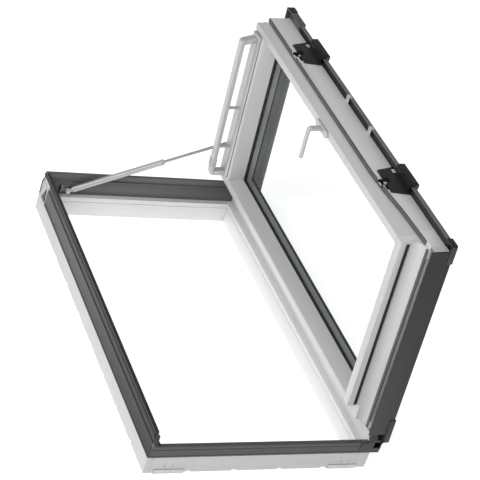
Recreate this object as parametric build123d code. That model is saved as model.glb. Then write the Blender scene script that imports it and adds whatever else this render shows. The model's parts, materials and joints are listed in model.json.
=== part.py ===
from build123d import *
from math import cos, hypot, pi, radians, sin
import os

# Side-hung roof access window: a fixed frame and a glazed sash swung open about its right long edge.
# Millimetres. X runs across the window, Y from its near (eaves) end to its far (ridge) end, Z outwards.
# The origin is the centre of the frame's underside. Every section is drawn as (d, z), where d is measured
# inwards from the frame's outer face on that side, and positions along a side run from the left or near face.
# The sash is drawn closed and then swung about its hinge axis to its open rest position.

# Fixed frame
frame_width = 660.0
frame_length = 1178.0
frame_height = 139.0
near_height = 93.0
hinge_side_height = 112.0
ledge_height = 69.0
bare_height = 57.0
foot_thickness = 2.0
base_width = {"left": 18.0, "right": 32.0, "near": 38.0, "far": 38.0}
upstand_width = 14.0
sheet = 2.0
drip_lip = 1.5
cladding_step = 3.0
step_height = 107.0
bead_height = 124.0
far_lining = 6.0
far_lining_height = 104.0
far_shelf = 5.0
far_shelf_height = 119.0
lining_groove = 2.0
lining_groove_depth = 2.0
lining_groove_height = 52.0
top_lap = 8.0
gutter_width = 24.0
gutter_height = 9.0
head_gap = 66.0
block_length = 9.0
block_shelf = 14.0
block_deep = 25.0
block_tab = (22.0, 19.0)
block_gap = 3.0
block_face = 1.5
block_reach = 38.0
cladding_screw_margin = 120.0
notch_pitch = 134.0
notch_width = 14.0
notch_height = 4.0
notch_depth = 4.0
joint_gap = 0.3

# Fixing angles under the four corners
angle_length = 88.0
angle_height = 14.0
angle_width = 34.0
fixing_hole = 6.5
fixing_inset = 46.0
fixing_depth = 19.0
screw_pitch = 23.0
fixing_screw_height = 26.0
fixing_screw_head = 5.0
screw_head = 7.0
screw_head_height = 1.2

# Hinges and the swing
open_angle = 85.5
hinge_inset = 3.0
hinge_rise = 17.0
hinge_pin = 5.0
hinge_pin_fit = 0.25
knuckle_diameter = 12.0
knuckle_length = 22.0
hinge_leaf = 3.0
hinge_leaf_length = 64.0
hinge_from_end = 52.0

# Sash timbers, drawn closed
inner_face = 36.0
sash_step = 75.0
timber_top = 139.0
glass_seat = 99.0
seal_height = 8.0
rim = {"left": 20.0, "right": 19.0, "near": 4.0, "far": 44.0}
waist = {"left": 36.0, "right": 70.0, "near": 45.0, "far": 44.0}
reveal = {"left": 58.0, "right": 93.0, "near": 73.0, "far": 110.0}
near_flange = 98.0
near_shoulder = 27.0
kerf_width = 3.0
kerf_depth = 4.0
rise_start = 387.0
rise_shape = [(0.36, 0.28), (0.53, 0.59), (0.74, 0.83), (0.885, 0.93)]
glass_rebate = 11.0
glass_edge_gap = 1.0
pane = 4.0
cavity = 16.0
spacer_width = 8.0
edge_seal_width = 3.0
timber_round = 3.0

# Outer covers of the sash
cover_edge = {"left": 5.0, "right": -18.0, "near": -19.0, "far": 4.0}
cover_lap = 2.0
cover_bottom = 142.0
cover_top = 158.0
hood_top = 164.0
cover_round = 3.0
cover_shoulder = 0.3
near_cover_low = 90.0
near_cover_start = 22.0
near_cover_end = 14.0
end_plate = 2.0
cap_sheet = 1.5
cap_leg = {"left": 56.0, "right": 82.0}
cap_short_leg = 32.0
far_cap_leg = 32.0
hood_slots = 12
hood_slot_height = 5.0
hood_slot_drop = 16.0
hood_slot_margin = 30.0
clip_places = (-64.0, 96.0)
clip_length = 18.0

# Seals
weather_seal = 4.0
weather_seal_width = 13.0
brush_low = 54.0
brush_high = 66.0
brush_depth = 6.0
brush_start = 7.0

# Locks and handle
lock_spacing = 640.0
locks_from_handle = 25.0
handle_from_near = 580.0
housing_length = 98.0
housing_spread = 13.0
housing_skin = 4.5
housing_low = 87.0
housing_top = 164.0
housing_reach = 12.0
housing_bridge = 2.2
housing_block = 98.0
lever_place = 35.0
lever_length = 15.0
lever_low = 128.0
lever_high = 138.0
pocket_wall = 1.2
lock_travel = 18.0
rail_depth = 9.0
rail_thickness = 3.0
rail_low = 83.5
rail_width = 9.0
rail_fit = 0.5
tongue_width = 14.0
keep_tab = 18.0
keep_tab_reach = 10.0
keep_tab_low = 96.0
keep_tab_thickness = 3.0
keep_plate_length = 60.0
notch_room = 3.0
escutcheon_length = 82.0
escutcheon_width = 21.0
escutcheon_thickness = 8.0
handle_neck = 16.0
handle_drop = 40.0
lever_reach = 98.0
lever_width = 12.0
lever_thickness = 9.0
spindle_side = 7.0
spindle_depth = 42.0
lock_case_length = 80.0
lock_case_width = 16.0

# Ventilation flap, control bar and hood filter
flap_width = 53.0
flap_thickness = 4.0
flap_crown = 9.0
flap_edge = 46.0
flap_end_gap = 4.0
flap_slit = 3.0
flap_pin = 3.0
vent_slot_width = 30.0
vent_slot_margin = 34.0
filter_height = 12.0
bar_width = 24.0
bar_thickness = 14.0
bar_from_far = 72.0
bar_stand_off = 40.0
bar_inset = (18.0, 1.0)
bar_corner = 12.0
bar_arm_width = 16.0
bar_arm_slant = 10.0
bar_post = 6.0
bar_post_places = (0.5, 0.79)
bar_grip_length = 34.0
bar_grip_gap = 12.0
bar_grip_wall = 2.0

# Gas strut
strut_plane = 31.5
strut_foot = (78.0, 88.0)
strut_head = (463.0, 85.0)
tube_outer = 18.0
tube_wall = 1.5
tube_end = 304.0
tube_start = 14.0
piston_rod = 9.5
tube_collar = 19.5
tube_collar_length = 9.0
rod_overlap = 40.0
strut_ball = 9.0
strut_socket = 14.0
ball_fit = 0.3
strut_plate = 2.0
strut_plate_size = 34.0

hinge_height = hinge_side_height + hinge_rise
half_width = frame_width / 2
half_length = frame_length / 2
hinge_x = frame_width - hinge_inset
glass_low = glass_seat
glass_high = glass_seat + 2 * pane + cavity
lock_middle = handle_from_near + locks_from_handle
lock_places = [lock_middle - lock_spacing / 2, lock_middle + lock_spacing / 2]
hinge_places = [hinge_from_end, frame_length - hinge_from_end]


def counter_clockwise(points):
    """Return the outline in counter-clockwise order."""
    area = 0.0
    for (x0, y0), (x1, y1) in zip(points, points[1:] + points[:1]):
        area += x0 * y1 - x1 * y0
    return points if area > 0 else points[::-1]


def run(side, outline, start, end, rounds=()):
    """Extrude a (d, z) outline along one side; rounds lists (corner, radius) to round in the outline."""
    if side in ("left", "right"):
        sign, edge = (1, -half_width) if side == "left" else (-1, half_width)
        plane = Plane(origin=(0, start - half_length, 0), x_dir=(1, 0, 0), z_dir=(0, -1, 0))
        direction = (0, 1, 0)
    else:
        sign, edge = (1, -half_length) if side == "near" else (-1, half_length)
        plane = Plane(origin=(start - half_width, 0, 0), x_dir=(0, 1, 0), z_dir=(1, 0, 0))
        direction = (1, 0, 0)
    placed = [(edge + sign * d, z) for d, z in outline]
    face = Polygon(*counter_clockwise(placed), align=None)
    for index, radius in rounds:
        corner = placed[index]
        near = min(face.vertices(), key=lambda v: hypot(v.X - corner[0], v.Y - corner[1]))
        face = fillet(near, radius)
    return extrude(plane * face, amount=end - start, dir=direction)


def block(x0, x1, y0, y1, z0, z1):
    """A box whose X and Y are measured from the frame's left and near faces."""
    size = Box(x1 - x0, y1 - y0, z1 - z0, align=(Align.MIN, Align.MIN, Align.MIN))
    return Pos(x0 - half_width, y0 - half_length, z0) * size


def bar_between(start, end, diameter):
    """A round bar between two points measured from the frame's left and near faces."""
    a = Vector(start[0] - half_width, start[1] - half_length, start[2])
    b = Vector(end[0] - half_width, end[1] - half_length, end[2])
    plane = Plane(origin=a, z_dir=b - a)
    return extrude(plane * Circle(diameter / 2), amount=(b - a).length)


def ball_at(x, y, z, diameter):
    """A ball at a point measured from the frame's left and near faces."""
    return Pos(x - half_width, y - half_length, z) * Sphere(diameter / 2)


def plan(corners, low, high):
    """A straight prism over a plan outline measured from the frame's left and near faces."""
    placed = [(x - half_width, y - half_length) for x, y in corners]
    face = Pos(0, 0, low) * Polygon(*counter_clockwise(placed), align=None)
    return extrude(face, amount=high - low, dir=(0, 0, 1))


def flat(x, outline, thickness):
    """A plate square to X, from (y, z) points with y measured from the near face."""
    placed = [(y - half_length, z) for y, z in outline]
    plane = Plane(origin=(x - half_width, 0, 0), x_dir=(0, 1, 0), z_dir=(1, 0, 0))
    return extrude(plane * Polygon(*counter_clockwise(placed), align=None), amount=thickness, dir=(1, 0, 0))


def swing(shape):
    """Swing a closed sash piece to its open rest position."""
    axis = Axis((hinge_x - half_width, 0, hinge_height), (0, 1, 0))
    return shape.rotate(axis, open_angle)


def solids_of(shapes):
    """One compound of the separate solids in a list of shapes."""
    found = []
    for shape in shapes:
        found += shape.solids()
    return Compound(found)


def write(name, shape):
    """Write one sub-part, with touching faces of one material merged."""
    export_step(shape, "parts/" + name + ".step")


def frame_member(side):
    """The white core of one side: base with a lining groove, rebate ledge and upstand."""
    base = base_width[side]
    inner = upstand_width - sheet
    top = {"left": frame_height, "right": hinge_side_height, "near": near_height, "far": frame_height}[side]
    low = foot_thickness
    groove = lining_groove_height
    deep = base - lining_groove_depth
    lower = [(0, low), (base, low), (base, groove), (deep, groove), (deep, groove + lining_groove),
             (base, groove + lining_groove), (base, ledge_height)]
    if side == "right":
        bare = upstand_width
        upper = [(bare, ledge_height), (bare, top), (top_lap, top), (top_lap, top - sheet), (sheet, top - sheet)]
    elif side == "near":
        upper = [(inner, ledge_height), (inner, top - sheet), (sheet, top - sheet)]
    else:
        outer = sheet + cladding_step
        upper = [(inner, ledge_height), (inner, top - sheet), (outer, top - sheet), (outer, step_height),
                 (sheet, step_height)]
    outline = lower + upper + [(sheet, bare_height), (0, bare_height)]
    return run(side, outline, 0, frame_length if side in ("left", "right") else frame_width)


def underside_notches(side, length):
    """Shallow notches along the lower outer edge of a member."""
    cuts = []
    count = int(length // notch_pitch)
    first = (length - (count - 1) * notch_pitch) / 2
    for index in range(count):
        middle = first + index * notch_pitch
        outline = [(-1, 0), (notch_depth, 0), (notch_depth, foot_thickness + notch_height),
                   (-1, foot_thickness + notch_height)]
        cuts.append(run(side, outline, middle - notch_width / 2, middle + notch_width / 2))
    return cuts


def end_room(side):
    """The room that the near or far claddings take at the ends of the long cores."""
    if side == "near":
        outline = [(-4, bare_height), (sheet, bare_height), (sheet, frame_height), (-4, frame_height)]
    else:
        outer = sheet + cladding_step
        outline = [(-4, bare_height), (sheet, bare_height), (sheet, step_height), (outer, step_height),
                   (outer, frame_height), (-4, frame_height)]
    return run(side, outline, -4, frame_width + 4)


def left_block_room():
    """The room of the black block that closes the near end of the left upstand."""
    outer = sheet + cladding_step
    return block(outer, rim["left"] - block_gap, sheet, block_length, near_height + 2, frame_height - sheet)


def frame_members():
    """The four cores: the left and right ones run through, the near and far ones fit between them."""
    members = {side: frame_member(side) - end_room("near") - end_room("far") for side in ("left", "right")}
    members["left"] -= left_block_room()
    x0, x1 = base_width["left"], frame_width - base_width["right"]
    between = block(x0, x1, 0, frame_length, 0, ledge_height)
    between += block(upstand_width, frame_width - upstand_width, 0, frame_length, ledge_height, frame_height)
    for side in ("near", "far"):
        members[side] = frame_member(side) & between
    members["far"] -= block(frame_width - upstand_width - sheet, frame_width, 0, frame_length, hinge_side_height,
                            frame_height)
    for side in members:
        length = frame_length if side in ("left", "right") else frame_width
        for cut in underside_notches(side, length):
            members[side] -= cut
    return members


def frame_cladding(side):
    """The bent sheet over the outside of one upstand."""
    lip = [(-drip_lip, bare_height), (sheet, bare_height)]
    foot = [(0, bare_height + 5), (-drip_lip, bare_height + 4)]
    outer = cladding_step
    x_right = frame_width - upstand_width
    if side in ("left", "far"):
        outline = lip + [(sheet, step_height), (outer + sheet, step_height + 3), (outer + sheet, bead_height),
                         (outer, bead_height), (outer, step_height + 4), (0, step_height + 1)] + foot
        if side == "left":
            return run(side, outline, 0, frame_length - head_gap)
        shape = run(side, outline, 0, frame_width)
        shape -= block(-1, outer, half_length, frame_length + 4, step_height + 1, frame_height)
        return shape - block(x_right, frame_width + 1, half_length, frame_length + 4, step_height, frame_height)
    if side == "near":
        top = near_height
        inner = upstand_width - sheet
        groove = 1.2
        outline = lip + [(sheet, top - sheet), (inner, top - sheet), (inner, ledge_height + sheet),
                         (upstand_width, ledge_height + sheet), (upstand_width, top), (4, top + 2), (1, top + 0.5),
                         (0, top - 2), (0, top - 9), (groove, top - 9.5), (groove, top - 11.5), (0, top - 12)] + foot
        shape = run(side, outline, sheet, frame_width)
        shape -= block(-1, upstand_width, sheet, 30, bare_height, frame_height)
        shape -= block(x_right, frame_width + 1, sheet, 30, bare_height, frame_height)
        gutter_end = lip + [(sheet, bare_height + gutter_height), (0, bare_height + gutter_height)] + foot
        return shape + run(side, gutter_end, frame_width, frame_width + gutter_width + sheet)
    top = hinge_side_height
    far_out = -gutter_width
    outline = [(sheet, bare_height), (sheet, top - sheet), (top_lap, top - sheet), (top_lap, top), (0, top),
               (0, bare_height + sheet),
               (far_out, bare_height + sheet), (far_out, bare_height + gutter_height),
               (far_out - sheet, bare_height + gutter_height), (far_out - sheet, bare_height)]
    return run(side, outline, sheet, frame_length - sheet)


def upstand_cap(side):
    """The dark profile over the top and the inner face of an upstand."""
    outer = cladding_step + 0.5
    core = cladding_step + sheet
    inner = upstand_width - sheet
    top = frame_height
    cap = [(outer, bead_height + 8), (core, bead_height + 8), (core, top - sheet), (inner, top - sheet)]
    if side == "left":
        cap += [(inner, ledge_height), (upstand_width, ledge_height), (upstand_width, top), (outer, top)]
        return run(side, cap, block_length, frame_length - upstand_width)
    lining = upstand_width + far_lining
    shelf = far_shelf_height
    cap += [(inner, ledge_height), (lining, ledge_height), (lining, far_lining_height),
            (upstand_width + 1, far_lining_height + 8), (upstand_width + 1, shelf - sheet),
            (upstand_width + far_shelf, shelf - sheet), (upstand_width + far_shelf, shelf), (upstand_width, shelf),
            (upstand_width, top), (outer, top)]
    end = frame_width - upstand_width
    shape = run(side, cap, outer, end)
    shape += run(side, [(core, hinge_side_height), (inner, hinge_side_height), (inner, top - sheet),
                        (core, top - sheet)], end - sheet, end)
    shape -= frame_member("left")
    shape -= frame_member("right")
    shape -= block(0, core, 0, frame_length - core, 0, bead_height + 8)
    shape -= upstand_cap("left")
    return max(shape.solids(), key=lambda s: s.volume)


def frame_bead():
    """The black gasket bead between the claddings and the caps, round the left and far sides."""
    outer = cladding_step - 0.8
    core = cladding_step + sheet
    outline = [(outer + 0.6, bead_height), (core, bead_height), (core, bead_height + 8), (outer + 0.4, bead_height + 8),
               (outer, bead_height + 4)]
    left = run("left", outline, block_length, frame_length - outer)
    far = run("far", outline, outer, frame_width - upstand_width)
    return left + far


def corner_blocks():
    """Black blocks that close the near ends of the left and right upstands."""
    left = left_block_room()
    left = chamfer(left.edges().filter_by(Axis.Y).group_by(Axis.Z)[-1].sort_by(Axis.X)[-1], 8)
    over = near_height + 2
    left += block(upstand_width, upstand_width + block_shelf, sheet, block_deep, over, over + 2)
    left += block(upstand_width, upstand_width + block_shelf, upstand_width, block_deep, ledge_height, over)
    left -= upstand_cap("left") + frame_members()["left"] + frame_cladding("near")
    left = max(left.solids(), key=lambda s: s.volume)
    outside = frame_width + gutter_width + sheet
    low = bare_height + gutter_height
    top = hinge_side_height - 9
    inner = frame_width - rim["right"] + sheet
    wall = 3.0
    deep = block_deep
    right = block(inner, outside, -block_face, deep, low, top)
    right = fillet(right.edges().filter_by(Axis.Y).group_by(Axis.Z)[-1].sort_by(Axis.X)[-1], 8)
    right -= block(frame_width + wall, outside - wall, -block_face - 1, deep - wall, low + 8, top - wall - 6)
    right -= block(inner - 1, frame_width, sheet, deep + 1, low - 1, top + 1)
    right -= block(inner - 1, frame_width, 0, deep + 1, low - 1, near_height + 2.5)
    right += block(frame_width - block_reach, inner, -block_face, 0, low, near_height)
    tab = block(inner, inner + block_tab[0], -block_face, block_length, top - 1, top + block_tab[1])
    right += chamfer(tab.edges().filter_by(Axis.Y).group_by(Axis.Z)[-1], 5)
    right -= frame_cladding("near") + frame_cladding("right") + frame_members()["right"]
    right = max(right.solids(), key=lambda s: s.volume)
    return solids_of([left, right])


def head_gusset():
    """Dark triangular gusset on the bare core at the far-left corner."""
    start = frame_length - head_gap + 8
    outline = [(start, bare_height + 2), (start + 34, bare_height + 2), (start + 8, step_height - 4)]
    return flat(0, outline, sheet)


def fixing_angles():
    """Four fixing angles at the frame's corners and the screws through their lips."""
    angles = []
    screws = []
    for end in ("near", "far"):
        for x0 in (fixing_inset - 18, frame_width - fixing_inset + 18 - angle_length):
            x1 = x0 + angle_length
            foot = run(end, [(-foot_thickness, 0), (angle_width, 0), (angle_width, foot_thickness),
                             (0, foot_thickness), (0, angle_height), (-foot_thickness, angle_height)], x0, x1)
            hole_x = x0 + 18 if x0 < half_width else x1 - 18
            hole_y = fixing_depth if end == "near" else frame_length - fixing_depth
            foot -= bar_between((hole_x, hole_y, -1), (hole_x, hole_y, foot_thickness + 1), fixing_hole)
            angles.append(foot)
            for k in (0, 1):
                place = hole_x + (10 + k * screw_pitch) * (1 if x0 < half_width else -1)
                face_y = 0 if end == "near" else frame_length
                out = -screw_head_height if end == "near" else screw_head_height
                screws.append(bar_between((place, face_y, fixing_screw_height),
                                          (place, face_y + out, fixing_screw_height), fixing_screw_head))
    return angles, screws


def fixing_places():
    """The four fixing holes, measured from the frame's left and near faces."""
    return [(x, y) for x in (fixing_inset, frame_width - fixing_inset)
            for y in (fixing_depth, frame_length - fixing_depth)]


def hinge_pieces():
    """Frame leaves, sash leaves and pins of the two butt hinges, drawn closed."""
    frame_leaves, sash_leaves, pins = [], [], []
    bore = hinge_pin + 2 * hinge_pin_fit
    for middle in hinge_places:
        y0 = middle - hinge_leaf_length / 2
        y1 = middle + hinge_leaf_length / 2
        split = knuckle_length / 2
        axis_line = ((hinge_x, y0 - 2, hinge_height), (hinge_x, y1 + 2, hinge_height))
        hole = bar_between(*axis_line, bore)
        plate = block(frame_width - upstand_width, frame_width, y0, y1, hinge_side_height,
                      hinge_side_height + hinge_leaf)
        stem = block(hinge_x - hinge_leaf / 2, hinge_x + hinge_leaf / 2, y0, y1, hinge_side_height, hinge_height)
        frame_knuckle = bar_between((hinge_x, y0, hinge_height), (hinge_x, y1, hinge_height), knuckle_diameter)
        room = bar_between((hinge_x, middle - split - joint_gap, hinge_height),
                           (hinge_x, middle + split + joint_gap, hinge_height), knuckle_diameter + 2)
        slot = block(hinge_x - 8, hinge_x + 8, middle - split - joint_gap, middle + split + joint_gap,
                     hinge_height - knuckle_diameter / 2 - 1, hinge_height + 8)
        frame_leaves.append(plate + stem + frame_knuckle - room - slot - hole)
        side = frame_width - rim["right"]
        arm = block(side, hinge_x, middle - split, middle + split, hinge_height - hinge_leaf / 2,
                    hinge_height + hinge_leaf / 2)
        leaf = block(side, side + hinge_leaf, y0, y1, sash_step + 26, timber_top - 2)
        knuckle = bar_between((hinge_x, middle - split, hinge_height), (hinge_x, middle + split, hinge_height),
                              knuckle_diameter)
        sash_leaves.append(leaf + arm + knuckle - hole)
        pins.append(bar_between((hinge_x, y0 - 1, hinge_height), (hinge_x, y1 + 1, hinge_height), hinge_pin))
    return frame_leaves, sash_leaves, pins


def glazing_pocket():
    """The space cut from the timbers for the panes and their seals."""
    low = glass_seat - seal_height
    return block(reveal["left"] - glass_rebate, frame_width - reveal["right"] + glass_rebate,
                 reveal["near"] - glass_rebate, frame_length - reveal["far"] + glass_rebate, low, timber_top + 1)


def cover_room(side):
    """The room over the timbers that a sloping cover takes, within its mitred plan."""
    edge = cover_edge[side]
    inner = reveal[side] + cover_lap
    shoulder = edge + cover_shoulder * (inner - edge)
    low = glass_high + 1
    outline = [(shoulder - 0.4, cover_top - sheet), (inner - sheet, low + 3.8), (inner - sheet, low), (inner, low),
               (inner, hood_top), (shoulder - 0.4, hood_top)]
    length = frame_width if side == "near" else frame_length
    return run(side, outline, -30, length + 30) & plan(cover_plan(side), 0, hood_top)


def rim_rise(extra=0.0):
    """The room under the lock stile's rim, whose lower edge rises in a long curve to the near flange."""
    z0 = sash_step + extra
    height = near_flange - sash_step
    inside = [(rise_start * (1 - part), z0 + height * up) for part, up in rise_shape]
    points = [(rise_start, z0)] + inside + [(-20, z0 + height)]
    points = [(y - half_length, z) for y, z in points]
    curve = Spline(*points, tangents=[(-1, 0), (-1, 0.02)])
    low = sash_step - 20
    rest = Polyline(points[-1], (points[-1][0], low), (points[0][0], low), points[0])
    plane = Plane(origin=(-half_width, 0, 0), x_dir=(0, 1, 0), z_dir=(1, 0, 0))
    return plane * make_face([curve, rest])


def stile(side):
    """A long sash timber: a narrow inner part and a wider rim beyond the step, with a kerf in the step's corner."""
    kerf = waist[side] - kerf_width
    outline = [(rim[side], sash_step), (kerf, sash_step), (kerf, sash_step + kerf_depth),
               (waist[side], sash_step + kerf_depth), (waist[side], inner_face), (reveal[side], inner_face),
               (reveal[side], timber_top), (rim[side], timber_top)]
    shape = run(side, outline, rim["near"], frame_length - rim["far"], [(4, timber_round), (5, timber_round)])
    return shape - glazing_pocket() - cover_room(side)


def near_rail():
    """The near sash timber, with its rounded shoulder and its brush groove."""
    outer, inner = rim["near"], waist["near"]
    outline = [(outer, near_flange), (inner, near_flange), (inner, inner_face), (reveal["near"], inner_face),
               (reveal["near"], timber_top), (outer, timber_top)]
    rounds = [(1, near_shoulder), (2, timber_round), (3, timber_round)]
    shape = run("near", outline, rim["left"], frame_width - rim["right"], rounds)
    shape -= block(0, waist["left"], 0, reveal["near"] + 1, 0, sash_step)
    shape -= block(frame_width - waist["right"], frame_width, 0, reveal["near"] + 1, 0, sash_step)
    shape -= block(waist["left"] + brush_start, frame_width - waist["right"] - 2, inner,
                   inner + brush_depth, brush_low, brush_high)
    for side in ("near", "left", "right"):
        shape -= cover_room(side)
    return shape - glazing_pocket()


def vent_slot():
    """The air slot through the far rail."""
    middle = frame_length - flap_edge - flap_width / 2
    return (reveal["left"] + vent_slot_margin, frame_width - reveal["right"] - vent_slot_margin,
            middle - vent_slot_width / 2, middle + vent_slot_width / 2)


def far_rail():
    """The far sash timber, with the flap's recess and the air slot."""
    outline = [(waist["far"], inner_face), (reveal["far"], inner_face), (reveal["far"], timber_top),
               (waist["far"], timber_top)]
    shape = run("far", outline, reveal["left"], frame_width - reveal["right"], [(1, timber_round)])
    low_y = frame_length - flap_edge - flap_width
    shape -= block(reveal["left"] - 1, frame_width - reveal["right"] + 1, low_y, frame_length - waist["far"] + 1,
                   inner_face - 1, inner_face + flap_thickness + 4)
    x0, x1, y0, y1 = vent_slot()
    shape -= block(x0, x1, y0, y1, inner_face, timber_top + 1)
    return shape - glazing_pocket()


def sash_timbers():
    """The four timbers, with the stiles butted to the near rail and the far rail between the stiles."""
    near = near_rail()
    near_zone = block(0, frame_width, 0, reveal["near"], 0, timber_top + 1)
    lock = stile("left") - near_zone
    hinge = stile("right") - near_zone
    far = far_rail()
    rise = extrude(rim_rise(), amount=waist["left"] - kerf_width, dir=(1, 0, 0))
    rise += extrude(rim_rise(kerf_depth), amount=waist["left"], dir=(1, 0, 0)) - block(
        0, waist["left"] - kerf_width, -40, frame_length, 0, frame_height)
    lock -= rise
    near -= rise
    y = handle_from_near
    x = (waist["left"] + reveal["left"]) / 2
    wide = lock_case_width / 2
    lock -= block(x - wide, x + wide, y - lock_case_length / 2, y + lock_case_length / 2, inner_face + 12,
                  glass_seat - seal_height - 3)
    lock -= bar_between((x, y, inner_face - 1), (x, y, inner_face + 20), spindle_side * 1.9)
    lock -= rail_channel()
    for place in lock_places:
        lock -= tab_notch(place, pocket_wall)
    return lock, hinge, near, far


def rail_channel():
    """The closed channel of the lock's drive rail inside the lock stile."""
    x0 = rim["left"] + rail_depth - rail_fit
    x1 = rim["left"] + rail_depth + rail_thickness + rail_fit
    reach = tongue_width / 2 + lock_travel + 12
    return block(x0, x1, lock_places[0] - reach, lock_places[1] + reach, rail_low - rail_fit,
                 rail_low + rail_width + rail_fit)


def tab_notch(place, wall=0.0):
    """The room in the lock stile for a keep's tab and the tongue that slides under it."""
    x1 = rim["left"] + rail_depth
    wide = keep_tab / 2 + notch_room + wall
    tab = block(rim["left"] - 1, x1, place - wide, place + wide, sash_step - 1,
                keep_tab_low + keep_tab_thickness + notch_room + wall)
    tongue = block(rim["left"] - 1, x1, place - wide - lock_travel - 3, place + wide, rail_low - rail_fit - wall,
                   rail_low + rail_width + rail_fit + wall)
    return tab + tongue


def drive_rail():
    """The lock's drive rail with its two tongues, drawn unlocked."""
    x0 = rim["left"] + rail_depth
    reach = tongue_width / 2 + lock_travel + 8
    rail = block(x0, x0 + rail_thickness, lock_places[0] - reach, lock_places[1] + reach - lock_travel, rail_low,
                 rail_low + rail_width)
    for place in lock_places:
        middle = place - lock_travel
        rail += block(rim["left"] + 1, x0 + 1, middle - tongue_width / 2, middle + tongue_width / 2, rail_low,
                      rail_low + rail_width)
    return rail


def lock_case():
    """The gear case that the spindle turns in, inside the lock stile."""
    x = (waist["left"] + reveal["left"]) / 2
    y = handle_from_near
    wide = lock_case_width / 2
    top = glass_seat - seal_height - 3
    case = block(x - wide, x + wide, y - lock_case_length / 2, y + lock_case_length / 2, inner_face + 12, top)
    case -= bar_between((x, y, inner_face), (x, y, inner_face + spindle_depth), spindle_side * 1.7)
    return case - rail_channel()


def lock_housing(place):
    """A black housing on the lock stile's side, bridged to a block outside the cover's edge, with a lined pocket."""
    face = rim["left"]
    skin = face - housing_skin
    half = housing_length / 2
    wide = half + housing_spread
    shell = flat(skin, [(place - half, housing_low), (place + half, housing_low), (place + wide, cover_bottom - 1),
                        (place - wide, cover_bottom - 1)], housing_skin)
    shell -= lever_room(place, joint_gap)
    front = cover_edge["left"] - housing_reach
    y0, y1 = place - housing_block / 2, place + housing_block / 2
    upper = block(front, face - 6, y0, y1, cover_bottom, housing_top)
    upper = chamfer(upper.edges().filter_by(Axis.Y).group_by(Axis.Z)[-1], 4)
    upper = chamfer(upper.edges().filter_by(Axis.Z).group_by(Axis.X)[0], 5)
    upper -= lock_cover_space()
    shell += upper + block(front + 5, face, y0 + 5, y1 - 5, cover_bottom - housing_bridge, cover_bottom)
    shell -= block(skin - 1, face, place - keep_tab / 2 - notch_room, place + keep_tab / 2 + notch_room, 0,
                   keep_tab_low + keep_tab_thickness + notch_room)
    pocket = tab_notch(place, pocket_wall) - tab_notch(place) - rail_channel()
    pocket &= block(face, face + rail_depth, 0, frame_length, sash_step, timber_top)
    shell += pocket
    return solids_of([part for part in shell.solids() if part.volume > 50])


def lever_room(place, gap=0.0):
    """The pocket of a lock housing's release lever."""
    depth = rim["left"] - housing_skin
    y0 = place + lever_place
    return block(depth - 5, depth + 2 + gap, y0 - gap, y0 + lever_length + gap, lever_low - gap, lever_high + gap)


def lock_lever(place):
    """The small light release lever, set into a lock housing."""
    depth = rim["left"] - housing_skin
    plate = lever_room(place) & block(depth - 0.3, depth + 2, 0, frame_length, 0, frame_height)
    ridge = block(depth - 1, depth, place + lever_place + 2, place + lever_place + 5, lever_low + 1, lever_high - 1)
    return plate + ridge


def lock_keep(place):
    """A keep on the frame's left upstand, with a tab that enters the lock stile's notch."""
    face = upstand_width
    plate = block(face, face + 1.5, place - keep_plate_length / 2, place + keep_plate_length / 2,
                  keep_tab_low - 12, keep_tab_low + 20)
    tab = block(face, face + keep_tab_reach, place - keep_tab / 2, place + keep_tab / 2, keep_tab_low,
                keep_tab_low + keep_tab_thickness)
    return plate + tab


def cover_outline(side, bottom):
    """The bent sheet of one sloping cover, sharing its heights with its neighbours at the mitres."""
    edge = cover_edge[side]
    inner = reveal[side] + cover_lap
    span = inner - edge
    shoulder = edge + cover_shoulder * span
    low = glass_high + 1
    t = sheet
    return [(edge, bottom), (edge, cover_top - cover_round), (edge + cover_round, cover_top), (shoulder, cover_top),
            (inner, low + 5), (inner, low), (inner - t, low), (inner - t, low + 5 - 1.2),
            (shoulder - 0.4, cover_top - t), (edge + cover_round + 0.8, cover_top - t),
            (edge + t, cover_top - cover_round - 0.8), (edge + t, bottom)]


def cover_plan(side):
    """The mitred plan of one cover."""
    outer_left, outer_right = cover_edge["left"], frame_width - cover_edge["right"]
    inner_left = reveal["left"] + cover_lap
    inner_right = frame_width - reveal["right"] - cover_lap
    near_out, near_in = cover_edge["near"], reveal["near"] + cover_lap
    hood = frame_length - reveal["far"] - cover_lap
    plans = {
        "left": [(outer_left, near_out), (inner_left, near_in), (inner_left, hood), (outer_left, hood)],
        "right": [(outer_right, near_out), (outer_right, hood), (inner_right, hood), (inner_right, near_in)],
        "near": [(outer_left, near_out), (outer_right, near_out), (inner_right, near_in), (inner_left, near_in)],
    }
    return plans[side]


def sash_cover(side):
    """One sloping cover, cut to its mitres."""
    bottom = near_cover_low if side == "near" else cover_bottom
    if side == "near":
        start, end = cover_edge["left"], frame_width - cover_edge["right"]
    else:
        start, end = cover_edge["near"], frame_length - reveal["far"] - cover_lap
    shape = run(side, cover_outline(side, bottom), start, end)
    shape &= plan(cover_plan(side), 0, hood_top)
    if side == "near":
        face = cover_edge["near"]
        shape -= block(start - 1, near_cover_start, face - 1, face + 10, 0, cover_bottom)
        shape -= block(frame_width - near_cover_end, end + 1, face - 1, face + 10, 0, cover_bottom)
    else:
        shape -= beyond_rims(cover_bottom)
    return max(shape.solids(), key=lambda s: s.volume)


def beyond_rims(top):
    """The space beside the stiles below a height, which the frame's upstands need."""
    room = block(-60, rim["left"], -10, frame_length + 10, 0, top)
    return room + block(frame_width - rim["right"], frame_width + 60, -10, frame_length + 10, 0, top)


def lock_cover_space():
    """The solid room of the lock-side cover, for what fits round it."""
    edge = cover_edge["left"]
    outline = [(edge, cover_bottom), (edge, cover_top - cover_round), (edge + cover_round, cover_top), (60, cover_top),
               (60, cover_bottom)]
    return run("left", outline, 0, frame_length)


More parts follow.
